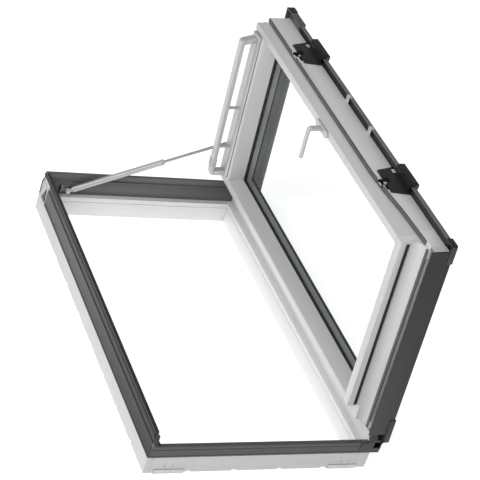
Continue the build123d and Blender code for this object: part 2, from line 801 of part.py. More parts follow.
def far_hood():
    """The ventilation hood over the far rail, closed at both ends, with outlet slots at its far edge."""
    edge, inner = cover_edge["far"], reveal["far"] + cover_lap
    low = glass_high + 1
    outline = [(edge, cover_bottom), (edge, hood_top - 4), (edge + 4, hood_top), (inner - 4, hood_top),
               (inner, hood_top - 4), (inner, low), (inner - sheet, low), (inner - sheet, hood_top - sheet - 3),
               (inner - 5, hood_top - sheet), (edge + 5, hood_top - sheet), (edge + sheet, hood_top - sheet - 3),
               (edge + sheet, cover_bottom)]
    start, end = cover_edge["left"], frame_width - cover_edge["right"]
    hood = run("far", outline, start, end)
    solid = run("far", [(edge, cover_bottom), (edge, hood_top - 4), (edge + 4, hood_top), (inner - 4, hood_top),
                        (inner, hood_top - 4), (inner, cover_bottom)], start, end)
    hood += solid & block(start, start + sheet, 0, frame_length, 0, hood_top)
    hood += solid & block(end - sheet, end, 0, frame_length, 0, hood_top)
    hood -= beyond_rims(cover_bottom)
    hood -= block(0, reveal["left"] - glass_rebate, 0, frame_length, 0, timber_top)
    hood -= block(frame_width - reveal["right"] + glass_rebate, frame_width, 0, frame_length, 0, timber_top)
    slot_y = frame_length - edge
    pitch = (end - start - 2 * hood_slot_margin) / hood_slots
    low = hood_top - hood_slot_drop
    for index in range(hood_slots):
        middle = start + hood_slot_margin + (index + 0.5) * pitch
        hood -= block(middle - pitch * 0.36, middle + pitch * 0.36, slot_y - sheet - 1, slot_y + 1, low,
                      low + hood_slot_height)
    return hood


def corner_cap(x_side, y_side):
    """A black cap over an outer corner of the covers: a long leg on the end, a short leg on the side."""
    t = cap_sheet
    top = cover_top if y_side == "near" else hood_top
    left = x_side == "left"
    x_out = cover_edge["left"] if left else frame_width - cover_edge["right"]
    y_out = cover_edge["near"] if y_side == "near" else frame_length - cover_edge["far"]
    near_side = y_side == "near"
    leg, short_leg = (cap_leg[x_side], cap_short_leg) if near_side else (far_cap_leg, far_cap_leg)
    sx = 1 if left else -1
    sy = 1 if y_side == "near" else -1

    def slab(a0, a1, b0, b1, z0, z1):
        xs = sorted((x_out + sx * a0, x_out + sx * a1))
        ys = sorted((y_out + sy * b0, y_out + sy * b1))
        return block(xs[0], xs[1], ys[0], ys[1], z0, z1)

    outer = slab(-t, leg, -t, 14, cover_bottom + 0.5, top + t)
    outer += slab(-t, 14, -t, short_leg, cover_bottom + 0.5, top + t)
    corner = min(outer.edges().filter_by(Axis.Z),
                 key=lambda e: hypot(e.center().X + half_width - (x_out - sx * t),
                                     e.center().Y + half_length - (y_out - sy * t)))
    outer = fillet(corner, 5)
    core = slab(0, leg + 1, 0, 15, 0, top)
    core += slab(0, 15, 0, short_leg + 1, 0, top)
    cap = outer - core
    cap = max(cap.solids(), key=lambda s: s.volume)
    if not left and y_side == "near":
        wide = rim["right"] - cover_edge["right"]
        cap += slab(-t, wide - joint_gap, sheet, cap_leg[x_side] / 2, cover_bottom - t, cover_bottom)
        cap += slab(-t, 0, -t, cap_leg[x_side] / 2, cover_bottom - t, cover_bottom + 1)
    return cap


def cover_clips():
    """Small light clips that hold the lock-side cover to its timber, and the near cover's light end plate."""
    clips = []
    edge = cover_edge["left"]
    half = clip_length / 2
    for step in clip_places:
        place = handle_from_near + step
        clip = block(rim["left"], rim["left"] + 6, place - half, place + half, timber_top, cover_bottom)
        clip += block(edge - 1.6, rim["left"] + 1, place - half, place + half, timber_top + 1.2, cover_bottom)
        clip += block(edge - 1.6, edge, place - half, place + half, timber_top + 1.2, cover_bottom + 9)
        clips.append(clip)
    x0 = rim["left"]
    clips.append(block(x0, x0 + end_plate, cover_edge["near"] + sheet, rim["near"], near_flange + 1, timber_top + 2))
    return clips


def glass_box(z0, z1, inset=0.0):
    """A pane-sized slab between two heights, drawn in by an inset."""
    gap = glass_edge_gap + inset
    return block(reveal["left"] - glass_rebate + gap, frame_width - reveal["right"] + glass_rebate - gap,
                 reveal["near"] - glass_rebate + gap, frame_length - reveal["far"] + glass_rebate - gap, z0, z1)


def glazing():
    """The two panes, the spacer and the edge seal between them."""
    inner = glass_box(glass_low, glass_low + pane)
    outer = glass_box(glass_high - pane, glass_high)
    z0, z1 = glass_low + pane, glass_high - pane
    seal = glass_box(z0, z1) - glass_box(z0 - 1, z1 + 1, edge_seal_width)
    spacer = glass_box(z0, z1, edge_seal_width) - glass_box(z0 - 1, z1 + 1, edge_seal_width + spacer_width)
    return inner, outer, spacer, seal


def inner_glazing_seal():
    """The black seal that the inner pane rests on, flush with the reveal."""
    low = glass_seat - seal_height
    outer = glass_box(low, glass_seat, 0)
    opening = block(reveal["left"], frame_width - reveal["right"], reveal["near"], frame_length - reveal["far"],
                    low - 1, glass_seat + 1)
    return outer - opening


def outer_glazing_seal():
    """The thin seal between the outer pane and the covers' lips."""
    outer = glass_box(glass_high, glass_high + 1, 0)
    lap = cover_lap
    opening = block(reveal["left"] + lap, frame_width - reveal["right"] - lap, reveal["near"] + lap,
                    frame_length - reveal["far"] - lap, glass_high - 1, glass_high + 2)
    return outer - opening


def weather_gasket():
    """The black seal under the sash's step, rising to the near flange beside the lock stile's near end."""
    low = sash_step - weather_seal
    edge = {side: waist[side] - kerf_width for side in ("left", "right")}
    wide = weather_seal_width
    left = run("left", [(edge["left"] - wide, low), (edge["left"], low), (edge["left"], sash_step),
                        (edge["left"] - wide, sash_step)], rise_start, frame_length - rim["far"])
    band = extrude(rim_rise(), amount=edge["left"], dir=(1, 0, 0))
    band -= extrude(Pos(0, 0, -weather_seal) * rim_rise(), amount=edge["left"], dir=(1, 0, 0))
    band &= block(edge["left"] - wide, edge["left"], near_shoulder, rise_start, 0, frame_height)
    rising = max(band.solids(), key=lambda s: s.volume)
    for place in lock_places:
        room = block(0, rim["left"] + rail_depth, place - keep_tab, place + keep_tab, low - 1, frame_height)
        left -= room
        rising -= room
    right = run("right", [(edge["right"] - wide, low), (edge["right"], low), (edge["right"], sash_step),
                          (edge["right"] - wide, sash_step)], reveal["near"], frame_length - rim["far"])
    far = run("far", [(waist["far"] - 3.2, 60), (waist["far"], 60), (waist["far"], 67), (waist["far"] - 3.2, 67)],
              waist["left"], frame_width - waist["right"])
    flange = near_flange - weather_seal * 0.9
    near = run("near", [(rim["near"] + 3, flange), (near_shoulder - 10, flange), (near_shoulder - 10, near_flange),
                        (rim["near"] + 3, near_flange)], waist["left"], frame_width - rim["right"])
    return [left, rising, right, far, near]


def brush_strip():
    """The brush in the near rail's groove: a carrier and its pile."""
    x0 = waist["left"] + brush_start
    x1 = frame_width - waist["right"] - 2
    y0 = waist["near"]
    carrier = block(x0, x1, y0 + brush_depth - 2, y0 + brush_depth, brush_low, brush_high)
    pile = block(x0, x1, y0 - 0.8, y0 + brush_depth - 2, brush_low + 2, brush_high - 2)
    return carrier + pile


def handle_lever():
    """The lever: a round neck off the escutcheon and a flat, slightly tapered grip."""
    x = (waist["left"] + reveal["left"]) / 2
    y = handle_from_near
    plate_face = inner_face - escutcheon_thickness
    low = inner_face - handle_drop - lever_thickness
    neck = bar_between((x, y, plate_face - joint_gap), (x, y, low), handle_neck)
    neck = chamfer(neck.edges().group_by(Axis.Z)[0], 2)
    grip = plan([(x, y - lever_width / 2), (x + lever_reach, y - lever_width * 0.4),
                 (x + lever_reach, y + lever_width * 0.4), (x, y + lever_width / 2)], low, low + lever_thickness)
    grip = fillet(grip.edges().filter_by(Axis.Z).group_by(Axis.X)[-1], lever_width * 0.35)
    grip = chamfer(grip.faces().sort_by(Axis.Z)[0].edges(), 1.5)
    return neck + grip


def handle_spindle():
    """The square spindle from the lever into the lock case."""
    x = (waist["left"] + reveal["left"]) / 2
    y = handle_from_near
    s = spindle_side / 2
    start = inner_face - escutcheon_thickness - joint_gap
    return block(x - s, x + s, y - s, y + s, start, inner_face + spindle_depth - 4)


def escutcheon():
    """The oval plate that the lever turns in."""
    x = (waist["left"] + reveal["left"]) / 2 - half_width
    y = handle_from_near - half_length
    z0 = inner_face - escutcheon_thickness
    shape = extrude(Pos(x, y, z0) * Rot(0, 0, 90) * SlotOverall(escutcheon_length, escutcheon_width),
                    amount=escutcheon_thickness)
    shape = fillet(shape.edges().group_by(Axis.Z)[0], 2.5)
    hole = Pos(x, y, z0 - 1) * extrude(Circle(spindle_side * 0.85), amount=escutcheon_thickness + 2)
    return shape - hole


def flap():
    """The ventilation flap with its crowned face and the eye along its far edge."""
    far = flap_edge
    near = flap_edge + flap_width - flap_slit
    low = inner_face
    back = low + flap_thickness
    outline = [(far + 3, back), (far + 1, low - flap_crown * 0.4), (far + 6, low - flap_crown * 0.85),
               (far + 16, low - flap_crown), (far + 34, low - flap_crown * 0.6), (near - 1, low - 0.5),
               (near, low + 1), (near, back)]
    x0 = reveal["left"] + flap_end_gap
    x1 = frame_width - reveal["right"] - flap_end_gap
    plate = run("far", outline, x0, x1)
    y = frame_length - flap_edge - flap_pin
    z = inner_face + flap_thickness
    eye = bar_between((x0, y, z), (x1, y, z), flap_pin + 4)
    hole = bar_between((x0 - 1, y, z), (x1 + 1, y, z), flap_pin + 2 * hinge_pin_fit)
    return plate + eye - hole


def flap_seal():
    """The black brush seal between the flap's near edge and the far rail."""
    edge = flap_edge + flap_width
    x0 = reveal["left"] + flap_end_gap
    x1 = frame_width - reveal["right"] - flap_end_gap
    return run("far", [(edge - 1.8, inner_face - 0.5), (edge, inner_face - 0.5), (edge, inner_face + flap_thickness + 4),
                       (edge - 1.8, inner_face + flap_thickness + 4)], x0, x1)


def flap_hinge_pin():
    """The pin of the flap, held in the two stiles."""
    y = frame_length - flap_edge - flap_pin
    z = inner_face + flap_thickness
    return bar_between((reveal["left"], y, z), (frame_width - reveal["right"], y, z), flap_pin)


def control_bar():
    """The control bar, its two end arms and two posts, and the ribbed grip near its hinge end."""
    y = frame_length - bar_from_far
    top = inner_face - bar_stand_off
    low = top - bar_thickness
    start = reveal["left"] + bar_inset[0]
    end = frame_width - reveal["right"] - bar_inset[1]
    bar = block(start, end, y - bar_width / 2, y + bar_width / 2, low, top)
    bar = fillet(bar.edges().filter_by(Axis.Y).group_by(Axis.Z)[0], bar_corner)
    bar = fillet(bar.edges().filter_by(Axis.X), 3)
    plane = Plane(origin=(0, y - bar_width / 2 - half_length, 0), x_dir=(1, 0, 0), z_dir=(0, -1, 0))
    arms = []
    foot = inner_face - 2
    for x, slant in ((start, -bar_arm_slant), (end - bar_arm_width, 0.0)):
        outline = [(x, top), (x + bar_arm_width, top), (x + bar_arm_width + slant, foot), (x + slant, foot)]
        placed = [(a - half_width, b) for a, b in outline]
        arm = extrude(plane * Polygon(*counter_clockwise(placed), align=None), amount=bar_width, dir=(0, 1, 0))
        arms.append(arm - flap())
    for part in bar_post_places:
        x = start + part * (end - start)
        arms.append(block(x - bar_post / 2, x + bar_post / 2, y - 5, y + 5, top, foot) - flap())
    grip_start = end - bar_arm_width - bar_grip_gap - bar_grip_length
    wall = bar_grip_wall
    grip = block(grip_start, grip_start + bar_grip_length, y - bar_width / 2 - wall, y + bar_width / 2 + wall,
                 low - wall, top + wall)
    grip = fillet(grip.edges().filter_by(Axis.X), 4)
    ring_pitch = bar_grip_length / 5
    for index in range(4):
        x = grip_start + (index + 1) * ring_pitch - 1
        ring = block(x, x + 2, y - bar_width, y + bar_width, low - 5, top + 5)
        inner = block(x - 1, x + 3, y - bar_width / 2 - 0.4, y + bar_width / 2 + 0.4, low - 0.4, top + 0.4)
        grip -= ring - inner
    grip -= bar
    return bar, arms, grip


def vent_filter():
    """The filter strip in the far rail's air slot."""
    x0, x1, y0, y1 = vent_slot()
    gap = joint_gap
    top = timber_top - 8
    return block(x0 + gap, x1 - gap, y0 + gap, y1 - gap, top - filter_height, top)


def open_point(x, z):
    """Where a closed sash point stands in the open rest position."""
    turn = radians(open_angle)
    a, b = x - hinge_x, z - hinge_height
    return hinge_x + a * cos(turn) + b * sin(turn), hinge_height - a * sin(turn) + b * cos(turn)


def strut():
    """The gas strut in the open rest position: tube with its socket, rod with its socket and ball stud."""
    y = frame_length - strut_plane
    fx, fz = strut_foot
    hx, hz = open_point(*strut_head)
    length = hypot(hx - fx, hz - fz)
    ux, uz = (hx - fx) / length, (hz - fz) / length

    def along(s):
        return (fx + ux * s, y, fz + uz * s)

    inner = tube_outer - 2 * tube_wall
    tube = bar_between(along(tube_start), along(tube_end), tube_outer)
    tube -= bar_between(along(tube_start + 4), along(tube_end - 10), inner)
    tube -= bar_between(along(tube_end - 11), along(tube_end + 1), piston_rod + 2 * ball_fit)
    collar = bar_between(along(tube_end), along(tube_end + tube_collar_length), tube_collar)
    collar -= bar_between(along(tube_end - 1), along(tube_end + tube_collar_length + 1), piston_rod + 2 * ball_fit)
    neck = bar_between(along(0), along(tube_start), strut_socket * 0.75)
    socket = bar_between((fx, y - strut_socket / 2, fz), (fx, y + strut_socket / 2, fz), strut_socket)
    socket += neck
    socket -= ball_at(fx, y, fz, strut_ball + 2 * ball_fit)
    socket -= bar_between((fx, y, fz), (fx, y + strut_socket, fz), strut_ball * 0.75)
    rod_start = tube_end - rod_overlap
    rod = bar_between(along(rod_start), along(length - strut_socket / 2), piston_rod)
    piston = bar_between(along(rod_start - 8), along(rod_start), inner - 2 * ball_fit)
    head = bar_between((hx, y - strut_socket / 2, hz), (hx, y + strut_socket / 2, hz), strut_socket)
    head -= rod
    side = frame_length - waist["far"] + strut_plate + joint_gap
    stud = bar_between((hx, side, hz), (hx, y - strut_socket / 2, hz), strut_ball)
    return tube, collar, socket, rod, piston, head + stud


def strut_bracket():
    """The frame's bracket for the strut: a plate on the far upstand, an upright tab and the ball stud."""
    y = frame_length - strut_plane
    fx, fz = strut_foot
    face = frame_length - upstand_width - far_lining
    plate = block(fx - 26, fx + 14, face - 2, face, fz - 12, fz + 16)
    plate = fillet(plate.edges().filter_by(Axis.Y), 4)
    tab = block(fx - 26, fx - 23, face - 16, face - 1, fz - 10, fz + 14)
    tab = fillet(tab.edges().filter_by(Axis.X).group_by(Axis.Y)[0], 5)
    stud = bar_between((fx, y, fz), (fx, face - 1, fz), strut_ball * 0.55)
    return plate + tab + stud + ball_at(fx, y, fz, strut_ball)


def strut_sash_plate():
    """The plate on the sash's far side that the strut's stud bears on, drawn closed, and its screws."""
    hx, hz = strut_head
    side = frame_length - waist["far"]
    s = strut_plate_size / 2
    plate = block(hx - s, hx + s, side, side + strut_plate, hz - s * 0.8, hz + s * 0.8)
    plate = fillet(plate.edges().filter_by(Axis.Y), 5)
    return plate


def sash_screws():
    """Screw heads of the sash's hinge leaves, drawn closed."""
    heads = []
    side = frame_width - rim["right"] + hinge_leaf
    for middle in hinge_places:
        for step in (-24, 24):
            heads.append(bar_between((side, middle + step, sash_step + 40), (side + 1.4, middle + step, sash_step + 40),
                                     6.0))
    return heads


def cladding_screws():
    """Screw heads along the claddings of the frame."""
    heads = []
    z = bare_height + 14
    margin = cladding_screw_margin
    for index in range(6):
        y = margin + index * (frame_length - head_gap - 2 * margin) / 5
        heads.append(bar_between((0, y, z), (-screw_head_height, y, z), screw_head))
    for index in range(4):
        x = margin + index * (frame_width - 2 * margin) / 3
        heads.append(bar_between((x, frame_length, z), (x, frame_length + screw_head_height, z), screw_head))
    return heads


def build():
    """Build and write every sub-part."""
    os.makedirs("parts", exist_ok=True)
    for side, member in frame_members().items():
        write("frame_" + side + "_member", member)
    for side in ("left", "right", "near", "far"):
        write("frame_" + side + "_cladding", frame_cladding(side))
    write("upstand_cap_left", upstand_cap("left"))
    write("upstand_cap_far", upstand_cap("far"))
    write("frame_gasket", frame_bead())
    write("corner_blocks", corner_blocks())
    write("head_gusset", head_gusset())
    angles, angle_screws = fixing_angles()
    write("fixing_angles", solids_of(angles))
    write("frame_screws", solids_of(angle_screws + cladding_screws()))
    write("lock_keeps", solids_of([lock_keep(place) for place in lock_places]))
    write("strut_frame_bracket", strut_bracket())
    frame_leaves, sash_leaves, pins = hinge_pieces()
    write("hinge_frame_leaves", solids_of(frame_leaves))
    write("hinge_pins", solids_of(pins))
    write("hinge_sash_leaves", swing(solids_of(sash_leaves)))

    lock, hinge, near, far = sash_timbers()
    write("sash_lock_stile", swing(lock))
    write("sash_hinge_stile", swing(hinge))
    write("sash_near_rail", swing(near))
    write("sash_far_rail", swing(far))
    inner, outer, spacer, seal = glazing()
    write("glass_inner_pane", swing(inner))
    write("glass_outer_pane", swing(outer))
    write("glass_spacer", swing(spacer))
    write("glass_edge_seal", swing(seal))
    write("glazing_seal_inner", swing(inner_glazing_seal()))
    write("glazing_seal_outer", swing(outer_glazing_seal()))
    write("sash_lock_cover", swing(sash_cover("left")))
    write("sash_hinge_cover", swing(sash_cover("right")))
    write("sash_near_cover", swing(sash_cover("near")))
    write("sash_far_hood", swing(far_hood()))
    caps = [corner_cap(x, y) for x in ("left", "right") for y in ("near", "far")]
    write("sash_corner_caps", swing(solids_of(caps)))
    write("cover_clips", swing(solids_of(cover_clips())))
    write("weather_gasket", swing(solids_of(weather_gasket())))
    write("brush_strip", swing(brush_strip()))
    write("lock_housings", swing(solids_of([lock_housing(place) for place in lock_places])))
    write("lock_levers", swing(solids_of([lock_lever(place) for place in lock_places])))
    write("lock_case", swing(lock_case()))
    write("lock_drive_rail", swing(drive_rail()))
    write("handle_escutcheon", swing(escutcheon()))
    write("handle_lever", swing(handle_lever()))
    write("handle_spindle", swing(handle_spindle()))
    write("sash_screws", swing(solids_of(sash_screws())))
    write("vent_flap", swing(flap()))
    write("vent_flap_pin", swing(flap_hinge_pin()))
    bar, arms, grip = control_bar()
    write("vent_control_bar", swing(bar))
    write("vent_bar_arms", swing(solids_of(arms)))
    write("vent_bar_grip", swing(grip))
    write("vent_seal", swing(flap_seal()))
    write("vent_filter", swing(vent_filter()))
    write("strut_sash_plate", swing(strut_sash_plate()))

    tube, collar, socket, rod, piston, head = strut()
    write("strut_tube", tube + collar)
    write("strut_socket", socket)
    write("strut_rod", rod)
    write("strut_piston", piston)
    write("strut_head", head)


build()
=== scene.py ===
import bmesh
import bpy
import json
import math
from bpy.props import FloatProperty, FloatVectorProperty, IntProperty, PointerProperty
from mathutils import Matrix, Vector


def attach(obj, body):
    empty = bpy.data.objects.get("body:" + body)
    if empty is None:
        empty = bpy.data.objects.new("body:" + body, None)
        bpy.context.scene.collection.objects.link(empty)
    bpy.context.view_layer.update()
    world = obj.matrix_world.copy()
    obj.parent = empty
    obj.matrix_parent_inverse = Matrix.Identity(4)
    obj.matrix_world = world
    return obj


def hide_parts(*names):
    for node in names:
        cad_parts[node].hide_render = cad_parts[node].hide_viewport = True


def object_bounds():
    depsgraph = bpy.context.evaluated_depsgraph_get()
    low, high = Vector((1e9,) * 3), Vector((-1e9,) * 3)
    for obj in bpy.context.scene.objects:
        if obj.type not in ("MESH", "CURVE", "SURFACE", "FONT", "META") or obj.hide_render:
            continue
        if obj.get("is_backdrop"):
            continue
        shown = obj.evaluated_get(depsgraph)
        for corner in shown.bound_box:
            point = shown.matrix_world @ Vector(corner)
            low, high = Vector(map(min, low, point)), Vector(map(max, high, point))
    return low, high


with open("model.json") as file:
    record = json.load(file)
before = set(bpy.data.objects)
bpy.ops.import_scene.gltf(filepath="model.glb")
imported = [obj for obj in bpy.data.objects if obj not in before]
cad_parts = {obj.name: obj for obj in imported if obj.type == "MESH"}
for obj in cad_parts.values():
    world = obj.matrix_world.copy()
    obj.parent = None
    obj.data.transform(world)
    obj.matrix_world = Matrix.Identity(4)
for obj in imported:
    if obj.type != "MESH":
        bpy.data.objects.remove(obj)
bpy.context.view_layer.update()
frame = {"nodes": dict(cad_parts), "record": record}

bl_info = {
    "name": "Side-hung roof window",
    "version": (1, 0, 0),
    "blender": (4, 5, 0),
    "location": "3D View > Sidebar > Roof window",
    "description": "Dresses the CAD model of a side-hung roof window: finishes, seals, fasteners and stage",
    "category": "Object",
}

bodies_of_nodes = {node: body for body, nodes in frame["record"]["behaviour"]["bodies"].items() for node in nodes}

# Half the frame's outer width and length, in metres
half_width = 0.330
half_length = 0.589

# Merging and rounding of the CAD's nodes, with a finer rounding for the far upstand's cap
merge_distance = 1e-6
flat_angle = math.radians(0.5)
bevel_angle = math.radians(40.0)
far_cap_round = 0.0002

# Looks that every finish shares
noise_low, noise_high = 0.3, 0.7
gloss_spread = 0.12
bump_depth = 0.0004
pane_ior = 1.1
pane_smear = 0.02
floor_white = (0.9, 0.9, 0.9, 1.0)

# Fasteners, in metres; above cladding_line a screw head has the cladding's colour
frame_head_radius = 0.0032
frame_head_height = 0.0012
sash_head_radius = 0.003
sash_head_height = 0.0008
plain_sash_head_height = 0.0014
cladding_line = 0.05
left_face_x = -0.3295
dome_to_head = 2.4
recess_to_radius = 1.2
screw_seed = 3

# Brush, in millimetres on the closed window
brush_carrier = ((43.5, 49.2, 54.5), (587.5, 51, 65.5))
brush_ends = ((44, 49.3, 60), (587, 49.3, 60))
brush_spread = (0.0001, 0.0, 0.0036)
bristle_tip, bristle_root = 0.00006, 0.00014
bristle_lean = ((math.radians(84), -0.1, -0.1), (math.radians(96), 0.1, 0.1))
bristle_seed, lean_seed = 11, 7

# Strips that only the scene has, in millimetres on the closed window
near_lip = ((60, 4.2, 97.2), (618, 8.2, 98))
# Light strips on the lock-side cover's upward side, with a gap between them: a painted reflection of the sky.
cover_reflection_strips = (((4.6, 16, 143), (5, 1060, 148.6)), ((4.6, 16, 150.4), (5, 1060, 154.6)))

# Grip of the control bar: its core and the ribs' line in millimetres, the ribs' loop in metres
grip_core = ((504, 1092.8, -19.2), (538, 1119.2, -2.8))
rib_ends = ((507.5, 1106, -11), (534.5, 1106, -11))
rib_loop = {"Width": 0.0268, "Height": 0.0168, "Corner": 0.0035}

# Handle lever: x, y, z and radius in millimetres on the closed window
handle_path = ((47, 580, 27.6, 8), (47, 580, 20, 8), (47, 580, 5, 7.8), (47.4, 580, -1.5, 7.4),
               (49.5, 580, -5.6, 7.0), (54, 580, -7.7, 6.6), (61, 580, -8.2, 6.3), (100, 580, -8.2, 6.0),
               (138, 580, -8.2, 5.7), (143.4, 580, -8.2, 4.9), (145, 580, -8.2, 3.2))

# Stage
floor_half = 30.0
opening_centre = (-0.005, 0, 0.0006)
opening_half = (0.303, 0.549)
lamp_side = 3.0
lamp_place = (-2.8, -1.6, 3.2)
lamp_target = (0, 0, 0.2)
sensor_width = 36.0
focal_pixels, image_pixels = 1680.25, 480.0
camera_place = (-1.99275, -3.48637, 2.88727)
camera_angles = (56.183195, -16.384135, -19.789716)


# Sizes and colours that a user would change

class WindowColours(bpy.types.PropertyGroup):
    lacquer: FloatVectorProperty(name="Lacquer", description="White lacquer of the timbers", subtype="COLOR",
                                 default=(0.76, 0.76, 0.757), min=0, max=1)
    cladding: FloatVectorProperty(name="Cladding", description="Dark grey paint of the outer sheets", subtype="COLOR",
                                  default=(0.030, 0.030, 0.032), min=0, max=1)
    # Profile is a lighter copy of the cladding paint: painted light that the near band and the lock-side cover catch
    # from the sky.
    profile: FloatVectorProperty(name="Profile", description="Cladding grey lightened as painted light for the near band and the lock-side cover",
                                 subtype="COLOR", default=(0.085, 0.085, 0.092), min=0, max=1)
    flap_rubber: FloatVectorProperty(name="Flap rubber", description="Soft lip of the weather seal", subtype="COLOR",
                                     default=(0.13, 0.13, 0.132), min=0, max=1)
    plastic: FloatVectorProperty(name="Black plastic", description="Lock housings, corner caps and blocks",
                                 subtype="COLOR", default=(0.012, 0.012, 0.013), min=0, max=1)
    rubber: FloatVectorProperty(name="Rubber", description="Sealing profiles", subtype="COLOR",
                                default=(0.020, 0.020, 0.021), min=0, max=1)
    light_metal: FloatVectorProperty(name="Light metal", description="Handle, control bar and flap", subtype="COLOR",
                                     default=(0.62, 0.62, 0.62), min=0, max=1)
    zinc: FloatVectorProperty(name="Zinc", description="Plated steel fittings", subtype="COLOR",
                              default=(0.50, 0.50, 0.51), min=0, max=1)
    glass_tint: FloatVectorProperty(name="Glass", description="Tint of the panes", subtype="COLOR",
                                    default=(0.975, 0.982, 0.98), min=0, max=1)


class WindowSizes(bpy.types.PropertyGroup):
    timber_round: FloatProperty(name="Timber rounding", description="Radius of the lacquered edges",
                                default=0.0016, min=0.0001, unit="LENGTH")
    sheet_round: FloatProperty(name="Sheet rounding", description="Radius of the folded sheets' edges",
                               default=0.0005, min=0.0001, unit="LENGTH")
    bristle_count: IntProperty(name="Bristles", description="Bristles along the near rail's brush", default=6000,
                               min=10)
    bristle_length: FloatProperty(name="Bristle length", description="Free length of the brush pile",
                                  default=0.0048, min=0.0005, unit="LENGTH")
    screw_recess: FloatProperty(name="Screw recess", description="Width of the cross recess in the screw heads",
                                default=0.0009, min=0.0002, unit="LENGTH")
    grip_ribs: IntProperty(name="Grip ribs", description="Ribs round the control bar's grip", default=7, min=1)
    rib_radius: FloatProperty(name="Rib radius", description="Radius of a grip rib", default=0.0007,
                              min=0.0001, unit="LENGTH")


class WindowStage(bpy.types.PropertyGroup):
    key_power: FloatProperty(name="Key light", description="Power of the large lamp on the left", default=84.0,
                             min=0, unit="POWER")
    sky_level: FloatProperty(name="Sky level", description="Strength of the light all round", default=0.41, min=0)
    sky_left: FloatProperty(name="Sky to the left", description="How much brighter the sky is on the left",
                            default=0.06)
    sky_up: FloatProperty(name="Sky overhead", description="How much brighter the sky is overhead", default=-0.10)
    floor_bounce: FloatProperty(name="Floor bounce", description="Light that the floor adds to the window from below",
                                default=0.18, min=0)
    opening_bounce: FloatProperty(name="Opening bounce", description="Light from the white sheet inside the frame",
                                  default=0.8, min=0)
    floor_lift: FloatProperty(name="Floor lift", description="How much the floor glows for the camera",
                              default=0.75, min=0)


# Node helpers

def new_material(name):
    """An empty node material with its output node."""
    material = bpy.data.materials.new(name)
    material.use_nodes = True
    tree = material.node_tree
    tree.nodes.clear()
    output = tree.nodes.new("ShaderNodeOutputMaterial")
    return material, tree, output


def object_noise(tree, scale, detail=4.0, stretch=(1.0, 1.0, 1.0), roughness=0.5):
    """Noise on Object coordinates, stretched along an axis where asked."""
    place = tree.nodes.new("ShaderNodeTexCoord")
    mapping = tree.nodes.new("ShaderNodeMapping")
    mapping.inputs["Scale"].default_value = stretch
    noise = tree.nodes.new("ShaderNodeTexNoise")
    noise.inputs["Scale"].default_value = scale
    noise.inputs["Detail"].default_value = detail
    noise.inputs["Roughness"].default_value = roughness
    tree.links.new(place.outputs["Object"], mapping.inputs["Vector"])
    tree.links.new(mapping.outputs["Vector"], noise.inputs["Vector"])
    return noise.outputs["Fac"]


def between(tree, factor, low, high):
    """A colour that runs between two colours with a factor."""
    ramp = tree.nodes.new("ShaderNodeValToRGB")
    ramp.color_ramp.elements[0].position = noise_low
    ramp.color_ramp.elements[1].position = noise_high
    ramp.color_ramp.elements[0].color = (*low, 1.0)
    ramp.color_ramp.elements[1].color = (*high, 1.0)
    tree.links.new(factor, ramp.inputs["Fac"])
    return ramp.outputs["Color"]


def ranged(tree, factor, low, high):
    """A number that runs between two values with a factor."""
    span = tree.nodes.new("ShaderNodeMapRange")
    span.inputs["From Min"].default_value = noise_low
    span.inputs["From Max"].default_value = noise_high
    span.inputs["To Min"].default_value = low
    span.inputs["To Max"].default_value = high
    tree.links.new(factor, span.inputs["Value"])
    return span.outputs["Result"]


def bumped(tree, factor, strength):
    """A bump normal from a factor."""
    bump = tree.nodes.new("ShaderNodeBump")
    bump.inputs["Strength"].default_value = strength
    bump.inputs["Distance"].default_value = bump_depth
    tree.links.new(factor, bump.inputs["Height"])
    return bump.outputs["Normal"]


def scaled(colour, factor):
    """A colour made lighter or darker."""
    return tuple(min(1.0, channel * factor) for channel in colour)


def surface(name, colour, variation, roughness, grain, bump, metallic=0.0, stretch=(1.0, 1.0, 1.0), broad=7.0,
            specular=0.5):
    """A finish with broad colour variation, fine grain in its gloss and a fine bump."""
    material, tree, output = new_material(name)
    shader = tree.nodes.new("ShaderNodeBsdfPrincipled")
    shader.inputs["Metallic"].default_value = metallic
    shader.inputs["Specular IOR Level"].default_value = specular
    blotches = object_noise(tree, broad, 3.0, stretch)
    tree.links.new(between(tree, blotches, scaled(colour, 1 - variation), scaled(colour, 1 + variation)),
                   shader.inputs["Base Color"])
    fine = object_noise(tree, grain, 5.0, stretch, 0.6)
    tree.links.new(ranged(tree, fine, roughness * (1 - gloss_spread), roughness * (1 + gloss_spread)),
                   shader.inputs["Roughness"])
    tree.links.new(bumped(tree, fine, bump), shader.inputs["Normal"])
    tree.links.new(shader.outputs["BSDF"], output.inputs["Surface"])
    return material


def window_glass(name, tint):
    """Clear glass that lets the light through to what is behind it."""
    material, tree, output = new_material(name)
    shader = tree.nodes.new("ShaderNodeBsdfPrincipled")
    shader.inputs["Base Color"].default_value = (*tint, 1.0)
    shader.inputs["Transmission Weight"].default_value = 1.0
    shader.inputs["IOR"].default_value = pane_ior
    smears = object_noise(tree, 3.0, 3.0)
    tree.links.new(ranged(tree, smears, 0.0, pane_smear), shader.inputs["Roughness"])
    through = tree.nodes.new("ShaderNodeBsdfTransparent")
    through.inputs["Color"].default_value = (*tint, 1.0)
    path = tree.nodes.new("ShaderNodeLightPath")
    either = tree.nodes.new("ShaderNodeMath")
    either.operation = "MAXIMUM"
    mix = tree.nodes.new("ShaderNodeMixShader")
    tree.links.new(path.outputs["Is Shadow Ray"], either.inputs[0])
    tree.links.new(path.outputs["Is Diffuse Ray"], either.inputs[1])
    tree.links.new(either.outputs["Value"], mix.inputs["Fac"])
    tree.links.new(shader.outputs["BSDF"], mix.inputs[1])
    tree.links.new(through.outputs["BSDF"], mix.inputs[2])
    tree.links.new(mix.outputs["Shader"], output.inputs["Surface"])
    return material


